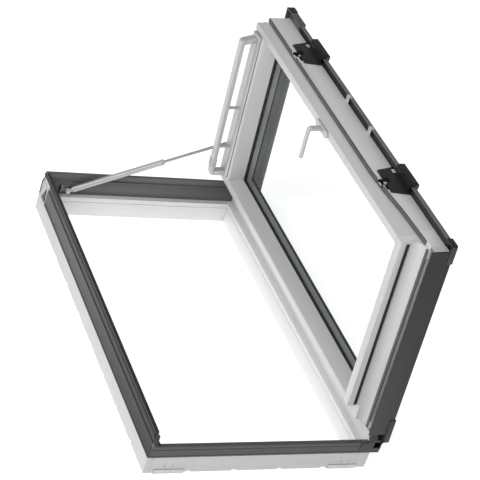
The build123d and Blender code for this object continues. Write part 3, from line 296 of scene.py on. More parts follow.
def lifted_white(name, lift, bounce):
    """Matt white that glows for the camera, in reflections, through glass and as bounce, and still takes shadows."""
    material, tree, output = new_material(name)
    diffuse = tree.nodes.new("ShaderNodeBsdfDiffuse")
    diffuse.inputs["Color"].default_value = floor_white
    glow = tree.nodes.new("ShaderNodeEmission")
    path = tree.nodes.new("ShaderNodeLightPath")
    seen = tree.nodes.new("ShaderNodeMath")
    seen.operation = "MAXIMUM"
    seen_through = tree.nodes.new("ShaderNodeMath")
    seen_through.operation = "MAXIMUM"
    level = tree.nodes.new("ShaderNodeMath")
    level.operation = "MULTIPLY"
    level.inputs[1].default_value = lift
    both = tree.nodes.new("ShaderNodeAddShader")
    tree.links.new(path.outputs["Is Camera Ray"], seen.inputs[0])
    tree.links.new(path.outputs["Is Glossy Ray"], seen.inputs[1])
    tree.links.new(seen.outputs["Value"], seen_through.inputs[0])
    tree.links.new(path.outputs["Is Transmission Ray"], seen_through.inputs[1])
    tree.links.new(seen_through.outputs["Value"], level.inputs[0])
    below = tree.nodes.new("ShaderNodeMath")
    below.operation = "MULTIPLY_ADD"
    below.inputs[1].default_value = bounce
    tree.links.new(path.outputs["Is Diffuse Ray"], below.inputs[0])
    tree.links.new(level.outputs["Value"], below.inputs[2])
    tree.links.new(below.outputs["Value"], glow.inputs["Strength"])
    tree.links.new(diffuse.outputs["BSDF"], both.inputs[0])
    tree.links.new(glow.outputs["Emission"], both.inputs[1])
    tree.links.new(both.outputs["Shader"], output.inputs["Surface"])
    return material


# Each finish: material name, colour (the name of a WindowColours colour, or the colour itself), variation of the
# colour, roughness, grain of the gloss, bump, and what else surface takes
finish_table = {
    "lacquer": ("white lacquer", "lacquer", 0.012, 0.38, 900.0, 0.05, {"stretch": (1, 0.35, 1)}),
    "cladding": ("grey cladding paint", "cladding", 0.06, 0.42, 2600.0, 0.14, {"specular": 0.4}),
    # A lighter copy of the cladding paint for the near band and the lock-side cover: painted light.
    "profile": ("lighter profile paint", "profile", 0.05, 0.38, 2600.0, 0.12, {}),
    # A lighter copy of the cladding paint for the far upstand's cap: painted light.
    "far_cap_painted_light": ("far upstand paint", (0.14, 0.14, 0.142), 0.14, 0.42, 1400.0, 0.14,
                 {"stretch": (0.15, 1, 1), "specular": 0.4}),
    # A darker copy of the cladding paint for the near cover, which faces the near side: painted shade.
    "near_cover": ("near cover paint", (0.021, 0.021, 0.023), 0.06, 0.42, 2600.0, 0.14, {"specular": 0.35}),
    "hood": ("far hood paint", (0.105, 0.112, 0.109), 0.16, 0.42, 900.0, 0.14, {"stretch": (1, 0.2, 1)}),
    "spacer": ("pane spacer", (0.30, 0.315, 0.31), 0.15, 0.5, 700.0, 0.08,
               {"metallic": 0.2, "stretch": (1, 0.2, 1)}),
    # A light grey that paints the sky's reflection on the lock-side cover's upward side.
    "edge_strip": ("anodised edge strip", (0.24, 0.24, 0.245), 0.05, 0.35, 1800.0, 0.05,
                   {"metallic": 0.3, "stretch": (1, 0.1, 1)}),
    "flap_rubber": ("soft grey seal lip", "flap_rubber", 0.1, 0.6, 1500.0, 0.15, {"broad": 40.0}),
    "plastic": ("black moulded plastic", "plastic", 0.12, 0.36, 3200.0, 0.2, {}),
    "rubber": ("black seal rubber", "rubber", 0.2, 0.6, 1500.0, 0.2, {"broad": 40.0}),
    "light_metal": ("satin light metal", "light_metal", 0.03, 0.33, 1800.0, 0.05,
                    {"metallic": 0.35, "stretch": (1, 0.1, 1)}),
    "zinc": ("zinc plated steel", "zinc", 0.08, 0.3, 1200.0, 0.08, {"metallic": 0.85, "broad": 60.0}),
    "dark_steel": ("dark plated steel", (0.14, 0.14, 0.145), 0.12, 0.35, 1200.0, 0.1,
                   {"metallic": 0.7, "broad": 60.0}),
    "rod": ("polished rod", (0.6, 0.6, 0.61), 0.02, 0.2, 900.0, 0.02, {"metallic": 0.6}),
    "foam": ("filter foam", (0.12, 0.12, 0.125), 0.3, 0.9, 700.0, 0.9, {"broad": 300.0}),
    "pale_plastic": ("pale moulded plastic", (0.6, 0.6, 0.6), 0.03, 0.4, 2200.0, 0.1, {}),
    "tube": ("lacquered tube", (0.55, 0.55, 0.56), 0.03, 0.34, 1400.0, 0.06, {"metallic": 0.3}),
    "bristles": ("brush bristles", (0.10, 0.10, 0.102), 0.3, 0.7, 2000.0, 0.1, {"broad": 500.0}),
}
finishes = {}


def finish(name):
    """The finish of a name, made once."""
    if name not in finishes:
        colours = bpy.context.scene.window_colours
        if name == "glass":
            finishes[name] = window_glass("window glass", tuple(colours.glass_tint))
        else:
            title, colour, variation, roughness, grain, bump, more = finish_table[name]
            if isinstance(colour, str):
                colour = tuple(getattr(colours, colour))
            finishes[name] = surface(title, colour, variation, roughness, grain, bump, **more)
    return finishes[name]


# Piece helpers

def new_piece(name, mesh, paint):
    """A named object for a mesh, with one finish."""
    mesh.materials.clear()
    mesh.materials.append(paint)
    piece = bpy.data.objects.new(name, mesh)
    bpy.context.scene.collection.objects.link(piece)
    return piece


def smooth(mesh):
    """Smooth shading on all faces."""
    for face in mesh.polygons:
        face.use_smooth = True


def merged_copy(node):
    """A copy of a CAD node's mesh with its loose triangles joined and its flats made whole."""
    mesh = frame["nodes"][node].data.copy()
    work = bmesh.new()
    work.from_mesh(mesh)
    bmesh.ops.remove_doubles(work, verts=work.verts, dist=merge_distance)
    bmesh.ops.dissolve_limit(work, angle_limit=flat_angle, verts=work.verts, edges=work.edges)
    work.to_mesh(mesh)
    work.free()
    return mesh


def in_place_of(piece, node):
    """Let a piece ride with a CAD node's body and stand for the node, which is hidden."""
    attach(piece, bodies_of_nodes[node])
    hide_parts(node)


def rounded(node, name, radius, paint, segments=2):
    """A piece that stands for a CAD node, with its edges rounded."""
    mesh = merged_copy(node)
    smooth(mesh)
    piece = new_piece(name, mesh, finish(paint))
    bevel = piece.modifiers.new("rounding", "BEVEL")
    bevel.width = radius
    bevel.segments = segments
    bevel.limit_method = "ANGLE"
    bevel.angle_limit = bevel_angle
    bevel.harden_normals = True
    in_place_of(piece, node)


def sash_place():
    """The turn from the closed sash to the open rest position."""
    swing = next(joint for joint in frame["record"]["behaviour"]["joints"] if joint["name"] == "sash_swing")
    hinge = Vector(swing["pos_m"])
    turn = Matrix.Rotation(math.radians(swing["range_deg"][1]), 4, "Y")
    return Matrix.Translation(hinge) @ turn @ Matrix.Translation(-hinge)


def from_corner(x, y, z):
    """A point in millimetres from the frame's left, near and under faces, in metres from its centre."""
    return Vector((x / 1000 - half_width, y / 1000 - half_length, z / 1000))


def boxes(name, spans, bevel=0.0):
    """A mesh of boxes from (x, y, z) spans in millimetres, drawn on the closed window."""
    work = bmesh.new()
    for low, high in spans:
        a, b = from_corner(*low), from_corner(*high)
        made = bmesh.ops.create_cube(work, size=1.0)
        bmesh.ops.scale(work, vec=b - a, verts=made["verts"])
        bmesh.ops.translate(work, vec=(a + b) / 2, verts=made["verts"])
    if bevel:
        bmesh.ops.bevel(work, geom=list(work.edges), offset=bevel, segments=3, profile=0.5, affect="EDGES")
    mesh = bpy.data.meshes.new(name)
    work.to_mesh(mesh)
    work.free()
    return mesh


# Node groups for what repeats or follows a path

def node_group(name, inputs):
    """A geometry node group with named inputs, what its input node gives, and its output node."""
    group = bpy.data.node_groups.new(name, "GeometryNodeTree")
    group.interface.new_socket("Geometry", in_out="INPUT", socket_type="NodeSocketGeometry")
    for label, kind in inputs:
        group.interface.new_socket(label, in_out="INPUT", socket_type="NodeSocket" + kind)
    group.interface.new_socket("Geometry", in_out="OUTPUT", socket_type="NodeSocketGeometry")
    return group, group.nodes.new("NodeGroupInput").outputs, group.nodes.new("NodeGroupOutput")


def fed(group, kind, links=(), **properties):
    """A node with its properties set and its sockets linked or given values."""
    node = group.nodes.new(kind)
    for name, value in properties.items():
        setattr(node, name, value)
    for name, source in dict(links).items():
        socket = node.inputs[name]
        if isinstance(source, bpy.types.NodeSocket):
            group.links.new(source, socket)
        else:
            socket.default_value = source
    return node


def with_base(group, base, instances):
    """The base mesh joined with instances."""
    joined = fed(group, "GeometryNodeJoinGeometry")
    group.links.new(base, joined.inputs["Geometry"])
    group.links.new(instances, joined.inputs["Geometry"])
    return joined.outputs["Geometry"]


def finished(group, geometry, paint, output):
    """Realise the instances, set the finish and hand the mesh over."""
    real = fed(group, "GeometryNodeRealizeInstances", {"Geometry": geometry})
    shaded = fed(group, "GeometryNodeSetMaterial", {"Geometry": real.outputs["Geometry"], "Material": paint})
    group.links.new(shaded.outputs["Geometry"], output.inputs["Geometry"])


def made_by(group, mesh, values):
    """The mesh that a node group makes from a mesh, with its inputs set by identifier first."""
    base = bpy.data.objects.new("base", mesh)
    modifier = base.modifiers.new("nodes", "NODES")
    modifier.node_group = group
    for item in group.interface.items_tree:
        if item.item_type == "SOCKET" and item.in_out == "INPUT" and item.name in values:
            modifier[item.identifier] = values[item.name]
    bpy.context.scene.collection.objects.link(base)
    depsgraph = bpy.context.evaluated_depsgraph_get()
    result = bpy.data.meshes.new_from_object(base.evaluated_get(depsgraph), preserve_all_data_layers=True,
                                             depsgraph=depsgraph)
    bpy.data.objects.remove(base)
    if not result.polygons:
        raise RuntimeError("no faces came from " + group.name)
    return result


def screw_group():
    """Domed screw heads with a cross recess, one on each point, turned to the point's facing."""
    group, given, end = node_group("screw heads on points", [
        ("Radius", "Float"), ("Height", "Float"), ("Recess", "Float"), ("Seed", "Int"), ("Material", "Material")])
    radius, height, recess = (given[name] for name in ("Radius", "Height", "Recess"))
    half = fed(group, "ShaderNodeMath", {0: height, 1: 0.5}, operation="MULTIPLY")
    up = fed(group, "ShaderNodeCombineXYZ", {"Z": half.outputs[0]})
    shank = fed(group, "GeometryNodeMeshCylinder", {"Vertices": 24, "Radius": radius, "Depth": height})
    shank = fed(group, "GeometryNodeTransform", {"Geometry": shank.outputs["Mesh"], "Translation": up.outputs[0]})
    broad = fed(group, "ShaderNodeMath", {0: radius, 1: dome_to_head}, operation="MULTIPLY")
    drop = fed(group, "ShaderNodeMath", {0: height, 1: broad.outputs[0]}, operation="SUBTRACT")
    low = fed(group, "ShaderNodeCombineXYZ", {"Z": drop.outputs[0]})
    dome = fed(group, "GeometryNodeMeshUVSphere", {"Segments": 32, "Rings": 48, "Radius": broad.outputs[0]})
    dome = fed(group, "GeometryNodeTransform", {"Geometry": dome.outputs["Mesh"], "Translation": low.outputs[0]})
    head = fed(group, "GeometryNodeMeshBoolean", operation="INTERSECT")
    group.links.new(shank.outputs["Geometry"], head.inputs["Mesh 2"])
    group.links.new(dome.outputs["Geometry"], head.inputs["Mesh 2"])
    long = fed(group, "ShaderNodeMath", {0: radius, 1: recess_to_radius}, operation="MULTIPLY")
    top = fed(group, "ShaderNodeCombineXYZ", {"Z": height})
    cuts = []
    for first, second in ((long.outputs[0], recess), (recess, long.outputs[0])):
        size = fed(group, "ShaderNodeCombineXYZ", {"X": first, "Y": second, "Z": height})
        bar = fed(group, "GeometryNodeMeshCube", {"Size": size.outputs[0]})
        cuts.append(fed(group, "GeometryNodeTransform", {"Geometry": bar.outputs["Mesh"],
                                                         "Translation": top.outputs[0]}))
    cross = fed(group, "GeometryNodeMeshBoolean", {"Mesh 1": head.outputs["Mesh"]}, operation="DIFFERENCE")
    for cut in cuts:
        group.links.new(cut.outputs["Geometry"], cross.inputs["Mesh 2"])
    facing = fed(group, "GeometryNodeInputNamedAttribute", {"Name": "facing"}, data_type="FLOAT_VECTOR")
    spin = fed(group, "FunctionNodeRandomValue", {"Seed": given["Seed"]}, data_type="FLOAT")
    turn = fed(group, "ShaderNodeMath", {0: spin.outputs[1], 1: math.tau}, operation="MULTIPLY")
    angle = fed(group, "ShaderNodeCombineXYZ", {"Z": turn.outputs[0]})
    aim = fed(group, "FunctionNodeAlignRotationToVector", {"Vector": facing.outputs["Attribute"]}, axis="Z")
    own = fed(group, "FunctionNodeEulerToRotation", {"Euler": angle.outputs[0]})
    both = fed(group, "FunctionNodeRotateRotation", {"Rotation": aim.outputs[0], "Rotate By": own.outputs[0]},
               rotation_space="LOCAL")
    placed = fed(group, "GeometryNodeInstanceOnPoints", {
        "Points": given["Geometry"], "Instance": cross.outputs["Mesh"], "Rotation": both.outputs[0]})
    finished(group, placed.outputs["Instances"], given["Material"], end)
    return group


def bristle_group():
    """Fine bristles along a line, each a little tilted, joined to their carrier."""
    group, given, end = node_group("bristles along a line", [
        ("Count", "Int"), ("Start", "Vector"), ("End", "Vector"), ("Spread", "Vector"), ("Length", "Float"),
        ("Seed", "Int"), ("Material", "Material")])
    line = fed(group, "GeometryNodeMeshLine", {
        "Count": given["Count"], "Start Location": given["Start"], "Offset": given["End"]}, mode="END_POINTS")
    back = fed(group, "ShaderNodeVectorMath", {0: given["Spread"], 1: (-1.0, -1.0, -1.0)}, operation="MULTIPLY")
    scatter = fed(group, "FunctionNodeRandomValue", {
        0: back.outputs[0], 1: given["Spread"], "Seed": given["Seed"]}, data_type="FLOAT_VECTOR")
    moved = fed(group, "GeometryNodeSetPosition", {"Geometry": line.outputs["Mesh"], "Offset": scatter.outputs[0]})
    hair = fed(group, "GeometryNodeMeshCone", {
        "Vertices": 4, "Radius Top": bristle_tip, "Radius Bottom": bristle_root, "Depth": given["Length"]})
    lean = fed(group, "FunctionNodeRandomValue", {
        0: bristle_lean[0], 1: bristle_lean[1], "Seed": lean_seed}, data_type="FLOAT_VECTOR")
    turned = fed(group, "FunctionNodeEulerToRotation", {"Euler": lean.outputs[0]})
    placed = fed(group, "GeometryNodeInstanceOnPoints", {
        "Points": moved.outputs["Geometry"], "Instance": hair.outputs["Mesh"], "Rotation": turned.outputs[0]})
    finished(group, with_base(group, given["Geometry"], placed.outputs["Instances"]), given["Material"], end)
    return group


def rib_group():
    """Rounded ribs round a bar, spaced along a line and joined to the grip's core."""
    group, given, end = node_group("ribs round a bar", [
        ("Count", "Int"), ("Start", "Vector"), ("End", "Vector"), ("Width", "Float"), ("Height", "Float"),
        ("Corner", "Float"), ("Thickness", "Float"), ("Material", "Material")])
    line = fed(group, "GeometryNodeMeshLine", {
        "Count": given["Count"], "Start Location": given["Start"], "Offset": given["End"]}, mode="END_POINTS")
    loop = fed(group, "GeometryNodeCurvePrimitiveQuadrilateral", {"Width": given["Width"], "Height": given["Height"]})
    soft = fed(group, "GeometryNodeFilletCurve", {
        "Curve": loop.outputs["Curve"], "Count": 6, "Radius": given["Corner"]}, mode="POLY")
    ring = fed(group, "GeometryNodeCurvePrimitiveCircle", {"Resolution": 10, "Radius": given["Thickness"]})
    rib = fed(group, "GeometryNodeCurveToMesh", {
        "Curve": soft.outputs["Curve"], "Profile Curve": ring.outputs["Curve"]})
    upright = fed(group, "GeometryNodeTransform", {
        "Geometry": rib.outputs["Mesh"], "Rotation": (math.pi / 2, 0.0, math.pi / 2)})
    placed = fed(group, "GeometryNodeInstanceOnPoints", {
        "Points": line.outputs["Mesh"], "Instance": upright.outputs["Geometry"]})
    finished(group, with_base(group, given["Geometry"], placed.outputs["Instances"]), given["Material"], end)
    return group


def sweep_group():
    """A round section swept along the base mesh's path, with each point's own radius."""
    group, given, end = node_group("section along a path", [
        ("Points", "Int"), ("Sides", "Int"), ("Material", "Material")])
    path = fed(group, "GeometryNodeMeshToCurve", {"Mesh": given["Geometry"]})
    soft = fed(group, "GeometryNodeCurveSplineType", {"Curve": path.outputs["Curve"]}, spline_type="CATMULL_ROM")
    width = fed(group, "GeometryNodeInputNamedAttribute", {"Name": "width"}, data_type="FLOAT")
    sized = fed(group, "GeometryNodeSetCurveRadius", {
        "Curve": soft.outputs["Curve"], "Radius": width.outputs["Attribute"]})
    even = fed(group, "GeometryNodeResampleCurve", {"Curve": sized.outputs["Curve"], "Count": given["Points"]})
    ring = fed(group, "GeometryNodeCurvePrimitiveCircle", {"Resolution": given["Sides"], "Radius": 1.0})
    radius = fed(group, "GeometryNodeInputRadius")
    tube = fed(group, "GeometryNodeCurveToMesh", {
        "Curve": even.outputs["Curve"], "Profile Curve": ring.outputs["Curve"], "Scale": radius.outputs["Radius"],
        "Fill Caps": True})
    finished(group, tube.outputs["Mesh"], given["Material"], end)
    return group


def island_centres(mesh):
    """The centre of each separate island of a mesh, in the order of its first vertex."""
    work = bmesh.new()
    work.from_mesh(mesh)
    work.verts.index_update()
    seen = set()
    centres = []
    for first in work.verts:
        if first.index in seen:
            continue
        seen.add(first.index)
        island, edge = [], [first]
        while edge:
            vert = edge.pop()
            island.append(vert)
            for link in vert.link_edges:
                other = link.other_vert(vert)
                if other.index not in seen:
                    seen.add(other.index)
                    edge.append(other)
        centres.append(sum((vert.co for vert in island), Vector()) / len(island))
    work.free()
    return centres


def screw_heads(node, name, facings, radius, height, plain, painted=False):
    """Screw heads in place of a CAD node's plain ones; facings gives a direction for each head's centre.

    Plain is the height of the CAD's heads. Painted gives the heads above the white timber the cladding's colour.
    """
    centres = island_centres(merged_copy(node))
    aims = [facings(centre) for centre in centres]
    points = bpy.data.meshes.new(name)
    points.from_pydata([centre - aim * plain / 2 for centre, aim in zip(centres, aims)], [], [])
    facing = points.attributes.new("facing", "FLOAT_VECTOR", "POINT")
    facing.data.foreach_set("vector", [value for aim in aims for value in aim])
    result = made_by(screw_group(), points, {
        "Radius": radius, "Height": height, "Recess": bpy.context.scene.window_sizes.screw_recess,
        "Seed": screw_seed, "Material": finish("zinc")})
    stand_in(node, name, result, "zinc")
    if painted:
        result.materials.append(finish("cladding"))
        for face in result.polygons:
            face.material_index = 1 if face.center.z > cladding_line else 0


def outward(centre):
    """The way that a frame screw at a point faces: off the left, the near or the far face."""
    if centre.x < left_face_x:
        return Vector((-1, 0, 0))
    return Vector((0, -1 if centre.y < 0 else 1, 0))


def stand_in(node, name, mesh, paint):
    """A finished mesh in place of a CAD node."""
    in_place_of(new_piece(name, mesh, finish(paint)), node)


def sash_extra(name, spans, bevel, paint):
    """Boxes drawn on the closed window that ride on the sash and replace nothing."""
    mesh = boxes(name, spans, bevel)
    mesh.transform(sash_place())
    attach(new_piece(name, mesh, finish(paint)), "sash")


def repaint(node, paint):
    """A new finish on a CAD node that stays."""
    mesh = frame["nodes"][node].data
    mesh.materials.clear()
    mesh.materials.append(finish(paint))


class ROOFWINDOW_OT_timbers(bpy.types.Operator):
    """Lacquered timbers of the frame and the sash"""
    bl_idname = "roofwindow.timbers"
    bl_label = "Timbers"

    def execute(self, context):
        radius = context.scene.window_sizes.timber_round
        for node in ("frame_left_member", "frame_right_member", "frame_near_member", "frame_far_member",
                     "sash_lock_stile", "sash_hinge_stile", "sash_near_rail", "sash_far_rail"):
            rounded(node, node + "_lacquered", radius, "lacquer")
        return {"FINISHED"}


class ROOFWINDOW_OT_sheets(bpy.types.Operator):
    """Painted claddings, caps and covers"""
    bl_idname = "roofwindow.sheets"
    bl_label = "Claddings and covers"

    def execute(self, context):
        radius = context.scene.window_sizes.sheet_round
        # The far upstand's cap takes a lighter copy of the cladding paint: painted light.
        # The near band and the lock-side cover take the profile finish, a lighter copy of the cladding paint: painted
        # light.
        # The near cover takes a darker copy of the cladding paint: painted shade.
        paints = {"frame_left_cladding": "cladding", "frame_right_cladding": "cladding",
                  "frame_near_cladding": "profile", "frame_far_cladding": "cladding", "upstand_cap_left": "cladding",
                  "upstand_cap_far": "far_cap_painted_light", "sash_lock_cover": "profile", "sash_hinge_cover": "cladding",
                  "sash_near_cover": "near_cover", "sash_far_hood": "hood", "head_gusset": "cladding"}
        for node, paint in paints.items():
            rounded(node, node + "_painted", far_cap_round if node == "upstand_cap_far" else radius, paint)
        return {"FINISHED"}


class ROOFWINDOW_OT_glazing(bpy.types.Operator):
    """Panes, spacer and glazing seals"""
    bl_idname = "roofwindow.glazing"
    bl_label = "Glazing"

    def execute(self, context):
        repaint("glass_inner_pane", "glass")
        repaint("glass_outer_pane", "glass")
        repaint("glass_spacer", "spacer")
        for node in ("glass_edge_seal", "glazing_seal_inner", "glazing_seal_outer"):
            repaint(node, "rubber")
        return {"FINISHED"}


class ROOFWINDOW_OT_seals(bpy.types.Operator):
    """Weather seals and the near rail's brush"""
    bl_idname = "roofwindow.seals"
    bl_label = "Seals and brush"

    def execute(self, context):
        rounded("frame_gasket", "frame_gasket_profile", 0.0008, "rubber")
        rounded("weather_gasket", "weather_seal_lip", 0.0008, "flap_rubber")
        sash_extra("near_edge_lip", [near_lip], 0.0003, "flap_rubber")
        sizes = context.scene.window_sizes
        result = made_by(bristle_group(), boxes("brush_carrier", [brush_carrier]), {
            "Count": sizes.bristle_count, "Start": from_corner(*brush_ends[0]), "End": from_corner(*brush_ends[1]),
            "Spread": brush_spread, "Length": sizes.bristle_length, "Seed": bristle_seed,
            "Material": finish("bristles")})
        result.transform(sash_place())
        stand_in("brush_strip", "brush_bristles", result, "bristles")
        return {"FINISHED"}


class ROOFWINDOW_OT_locks(bpy.types.Operator):
    """Lock housings, levers, keeps, clips and the drive rail"""
    bl_idname = "roofwindow.locks"
    bl_label = "Locks"

    def execute(self, context):
        rounded("lock_housings", "lock_housing_shells", 0.0012, "plastic", 3)
        rounded("lock_levers", "lock_lever_pieces", 0.0006, "pale_plastic")
        # Light strips on the lock-side cover stand in for the sky's reflection on its upward side: painted
        # reflection.
        sash_extra("cover_edge_strip", cover_reflection_strips, 0.0, "edge_strip")
        rounded("cover_clips", "cover_clip_pieces", 0.0006, "pale_plastic")
        rounded("lock_keeps", "lock_keep_plates", 0.0005, "zinc")
        repaint("lock_drive_rail", "plastic")
        repaint("lock_case", "plastic")
        return {"FINISHED"}


class ROOFWINDOW_OT_corners(bpy.types.Operator):
    """Corner blocks, corner caps and the fixing angles"""
    bl_idname = "roofwindow.corners"
    bl_label = "Corners"

    def execute(self, context):
        rounded("corner_blocks", "corner_block_mouldings", 0.001, "plastic")
        rounded("sash_corner_caps", "sash_corner_cap_mouldings", 0.0008, "plastic")
        rounded("fixing_angles", "fixing_angle_plates", 0.0005, "zinc")
        screw_heads("frame_screws", "frame_screw_heads", outward, frame_head_radius, frame_head_height,
                    frame_head_height, painted=True)
        aside = (sash_place().to_3x3() @ Vector((1, 0, 0))).normalized()
        screw_heads("sash_screws", "sash_screw_heads", lambda centre: aside, sash_head_radius, sash_head_height,
                    plain_sash_head_height)
        return {"FINISHED"}


class ROOFWINDOW_OT_hinges(bpy.types.Operator):
    """Hinge leaves and pins"""
    bl_idname = "roofwindow.hinges"
    bl_label = "Hinges"

    def execute(self, context):
        rounded("hinge_frame_leaves", "hinge_frame_leaf_plates", 0.0006, "zinc")
        rounded("hinge_sash_leaves", "hinge_sash_leaf_plates", 0.0006, "zinc")
        repaint("hinge_pins", "zinc")
        return {"FINISHED"}


class ROOFWINDOW_OT_handle(bpy.types.Operator):
    """Handle lever, its plate and the spindle"""
    bl_idname = "roofwindow.handle"
    bl_label = "Handle"

    def execute(self, context):
        line = bpy.data.meshes.new("handle_path")
        line.from_pydata([from_corner(*point[:3]) for point in handle_path],
                         [(k, k + 1) for k in range(len(handle_path) - 1)], [])
        widths = line.attributes.new("width", "FLOAT", "POINT")
        widths.data.foreach_set("value", [point[3] / 1000 for point in handle_path])
        result = made_by(sweep_group(), line, {"Points": 90, "Sides": 28, "Material": finish("light_metal")})
        result.transform(sash_place())
        smooth(result)
        stand_in("handle_lever", "handle_lever_cast", result, "light_metal")
        rounded("handle_escutcheon", "handle_plate_cast", 0.0006, "light_metal")
        repaint("handle_spindle", "zinc")
        return {"FINISHED"}


class ROOFWINDOW_OT_vent(bpy.types.Operator):
    """Ventilation flap, control bar, arms, grip and filter"""
    bl_idname = "roofwindow.vent"
    bl_label = "Ventilation flap"

    def execute(self, context):
        rounded("vent_flap", "vent_flap_extrusion", 0.0006, "light_metal")
        rounded("vent_control_bar", "vent_control_bar_extrusion", 0.0008, "light_metal")
        rounded("vent_bar_arms", "vent_bar_arm_castings", 0.001, "light_metal")
        sizes = context.scene.window_sizes
        result = made_by(rib_group(), boxes("grip_core", [grip_core], 0.003), {
            "Count": sizes.grip_ribs, "Start": from_corner(*rib_ends[0]), "End": from_corner(*rib_ends[1]),
            "Thickness": sizes.rib_radius, "Material": finish("pale_plastic"), **rib_loop})
        result.transform(sash_place())
        smooth(result)
        stand_in("vent_bar_grip", "vent_bar_grip_moulding", result, "pale_plastic")
        repaint("vent_flap_pin", "zinc")
        repaint("vent_filter", "foam")
        repaint("vent_seal", "rubber")
        return {"FINISHED"}


class ROOFWINDOW_OT_strut(bpy.types.Operator):
    """Gas strut, its ball joints and bracket"""
    bl_idname = "roofwindow.strut"
    bl_label = "Gas strut"

    def execute(self, context):
        rounded("strut_tube", "strut_tube_lacquered", 0.0006, "tube")
        rounded("strut_socket", "strut_socket_moulding", 0.0006, "pale_plastic")
        rounded("strut_head", "strut_head_forging", 0.0006, "zinc")
        rounded("strut_frame_bracket", "strut_bracket_pressing", 0.0005, "dark_steel")
        rounded("strut_sash_plate", "strut_plate_pressing", 0.0005, "zinc")
        repaint("strut_rod", "rod")
        repaint("strut_piston", "tube")
        return {"FINISHED"}


def stage_sheet(name, half, place, paint):
    """A flat white sheet of the stage, made as a grid and placed in its mesh."""
    work = bmesh.new()
    bmesh.ops.create_grid(work, x_segments=1, y_segments=1, size=half)
    mesh = bpy.data.meshes.new(name)
    work.to_mesh(mesh)
    work.free()
    mesh.transform(place)
    new_piece(name, mesh, paint)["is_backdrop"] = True


def even_light(scene, values):
    """A sky that is white for the camera and lights a little more from the left and from below."""
    world = bpy.data.worlds.new("even light")
    scene.world = world
    world.use_nodes = True
    tree = world.node_tree
    tree.nodes.clear()
    output = tree.nodes.new("ShaderNodeOutputWorld")
    background = tree.nodes.new("ShaderNodeBackground")
    background.inputs["Color"].default_value = (1.0, 1.0, 1.0, 1.0)
    path = tree.nodes.new("ShaderNodeLightPath")
    place = tree.nodes.new("ShaderNodeTexCoord")
    lean = tree.nodes.new("ShaderNodeVectorMath")
    lean.operation = "DOT_PRODUCT"
    lean.inputs[1].default_value = (-values.sky_left, 0.0, values.sky_up)
    sky = tree.nodes.new("ShaderNodeMath")
    sky.operation = "ADD"
    sky.inputs[1].default_value = values.sky_level
    level = tree.nodes.new("ShaderNodeMix")
    level.data_type = "FLOAT"
    level.inputs["B"].default_value = 1.0
    tree.links.new(place.outputs["Generated"], lean.inputs[0])
    tree.links.new(lean.outputs["Value"], sky.inputs[0])
    tree.links.new(sky.outputs["Value"], level.inputs["A"])
    tree.links.new(path.outputs["Is Camera Ray"], level.inputs["Factor"])
    tree.links.new(level.outputs["Result"], background.inputs["Strength"])
    tree.links.new(background.outputs["Background"], output.inputs["Surface"])


def key_lamp(scene, power):
    """The large lamp on the near left, aimed at the window."""
    lamp = bpy.data.lights.new("key lamp", "AREA")
    lamp.shape = "RECTANGLE"
    lamp.size = lamp_side
    lamp.size_y = lamp_side
    lamp.energy = power
    holder = bpy.data.objects.new("key lamp", lamp)
    scene.collection.objects.link(holder)
    holder.location = lamp_place
    holder.rotation_euler = (Vector(lamp_target) - holder.location).to_track_quat("-Z", "Y").to_euler()


def fitted_camera(scene):
    """The camera that was fitted to the photograph."""
    camera = bpy.data.cameras.new("photograph view")
    camera.sensor_fit = "HORIZONTAL"
    camera.sensor_width = sensor_width
    camera.lens = sensor_width * focal_pixels / image_pixels
    camera.clip_end = 100.0
    viewer = bpy.data.objects.new("photograph view", camera)
    scene.collection.objects.link(viewer)
    viewer.location = camera_place
    viewer.rotation_euler = tuple(math.radians(angle) for angle in camera_angles)
    scene.camera = viewer


class ROOFWINDOW_OT_stage(bpy.types.Operator):
    """Floor, even light, key lamp and the camera"""
    bl_idname = "roofwindow.stage"
    bl_label = "Stage"

    def execute(self, context):
        values = context.scene.window_stage
        under = Matrix.Translation((0, 0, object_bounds()[0].z))
        stage_sheet("studio_floor", floor_half, under,
                    lifted_white("studio floor white", values.floor_lift, values.floor_bounce))
        inside = Matrix.Translation(opening_centre) @ Matrix.Diagonal((*opening_half, 1.0, 1.0))
        stage_sheet("opening_sheet", 1.0, inside,
                    lifted_white("opening sheet white", values.floor_lift, values.opening_bounce))
        even_light(context.scene, values)
        key_lamp(context.scene, values.key_power)
        fitted_camera(context.scene)
        context.scene.view_settings.view_transform = "Standard"
        return {"FINISHED"}


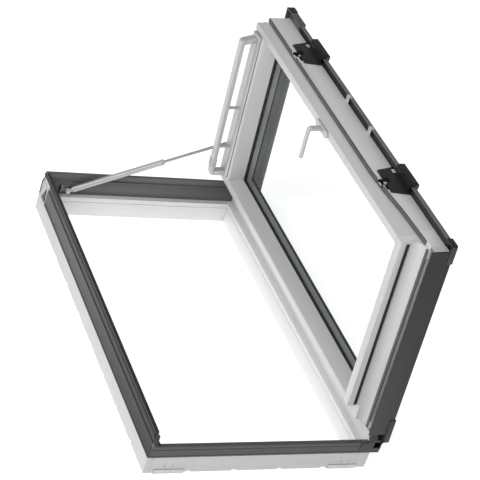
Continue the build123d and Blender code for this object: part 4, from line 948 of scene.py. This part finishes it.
class ROOFWINDOW_PT_panel(bpy.types.Panel):
    """Buttons for the window's pieces"""
    bl_idname = "ROOFWINDOW_PT_panel"
    bl_label = "Roof window"
    bl_space_type = "VIEW_3D"
    bl_region_type = "UI"
    bl_category = "Roof window"

    def draw(self, context):
        for operator in operators:
            self.layout.operator(operator.bl_idname)
        for group in (context.scene.window_colours, context.scene.window_sizes, context.scene.window_stage):
            box = self.layout.box()
            for name in group.bl_rna.properties.keys():
                if name not in ("rna_type", "name"):
                    box.prop(group, name)


operators = (ROOFWINDOW_OT_timbers, ROOFWINDOW_OT_sheets, ROOFWINDOW_OT_glazing, ROOFWINDOW_OT_seals,
             ROOFWINDOW_OT_locks, ROOFWINDOW_OT_corners, ROOFWINDOW_OT_hinges, ROOFWINDOW_OT_handle,
             ROOFWINDOW_OT_vent, ROOFWINDOW_OT_strut, ROOFWINDOW_OT_stage)
groups = (WindowColours, WindowSizes, WindowStage)


def register():
    for group in groups:
        bpy.utils.register_class(group)
    for operator in operators:
        bpy.utils.register_class(operator)
    bpy.utils.register_class(ROOFWINDOW_PT_panel)
    bpy.types.Scene.window_colours = PointerProperty(type=WindowColours)
    bpy.types.Scene.window_sizes = PointerProperty(type=WindowSizes)
    bpy.types.Scene.window_stage = PointerProperty(type=WindowStage)


def unregister():
    del bpy.types.Scene.window_stage
    del bpy.types.Scene.window_sizes
    del bpy.types.Scene.window_colours
    bpy.utils.unregister_class(ROOFWINDOW_PT_panel)
    for operator in reversed(operators):
        bpy.utils.unregister_class(operator)
    for group in reversed(groups):
        bpy.utils.unregister_class(group)


def main():
    """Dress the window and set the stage."""
    register()
    bpy.ops.roofwindow.timbers()
    bpy.ops.roofwindow.sheets()
    bpy.ops.roofwindow.glazing()
    bpy.ops.roofwindow.seals()
    bpy.ops.roofwindow.locks()
    bpy.ops.roofwindow.corners()
    bpy.ops.roofwindow.hinges()
    bpy.ops.roofwindow.handle()
    bpy.ops.roofwindow.vent()
    bpy.ops.roofwindow.strut()
    bpy.ops.roofwindow.stage()


if __name__ == "__main__":
    main()
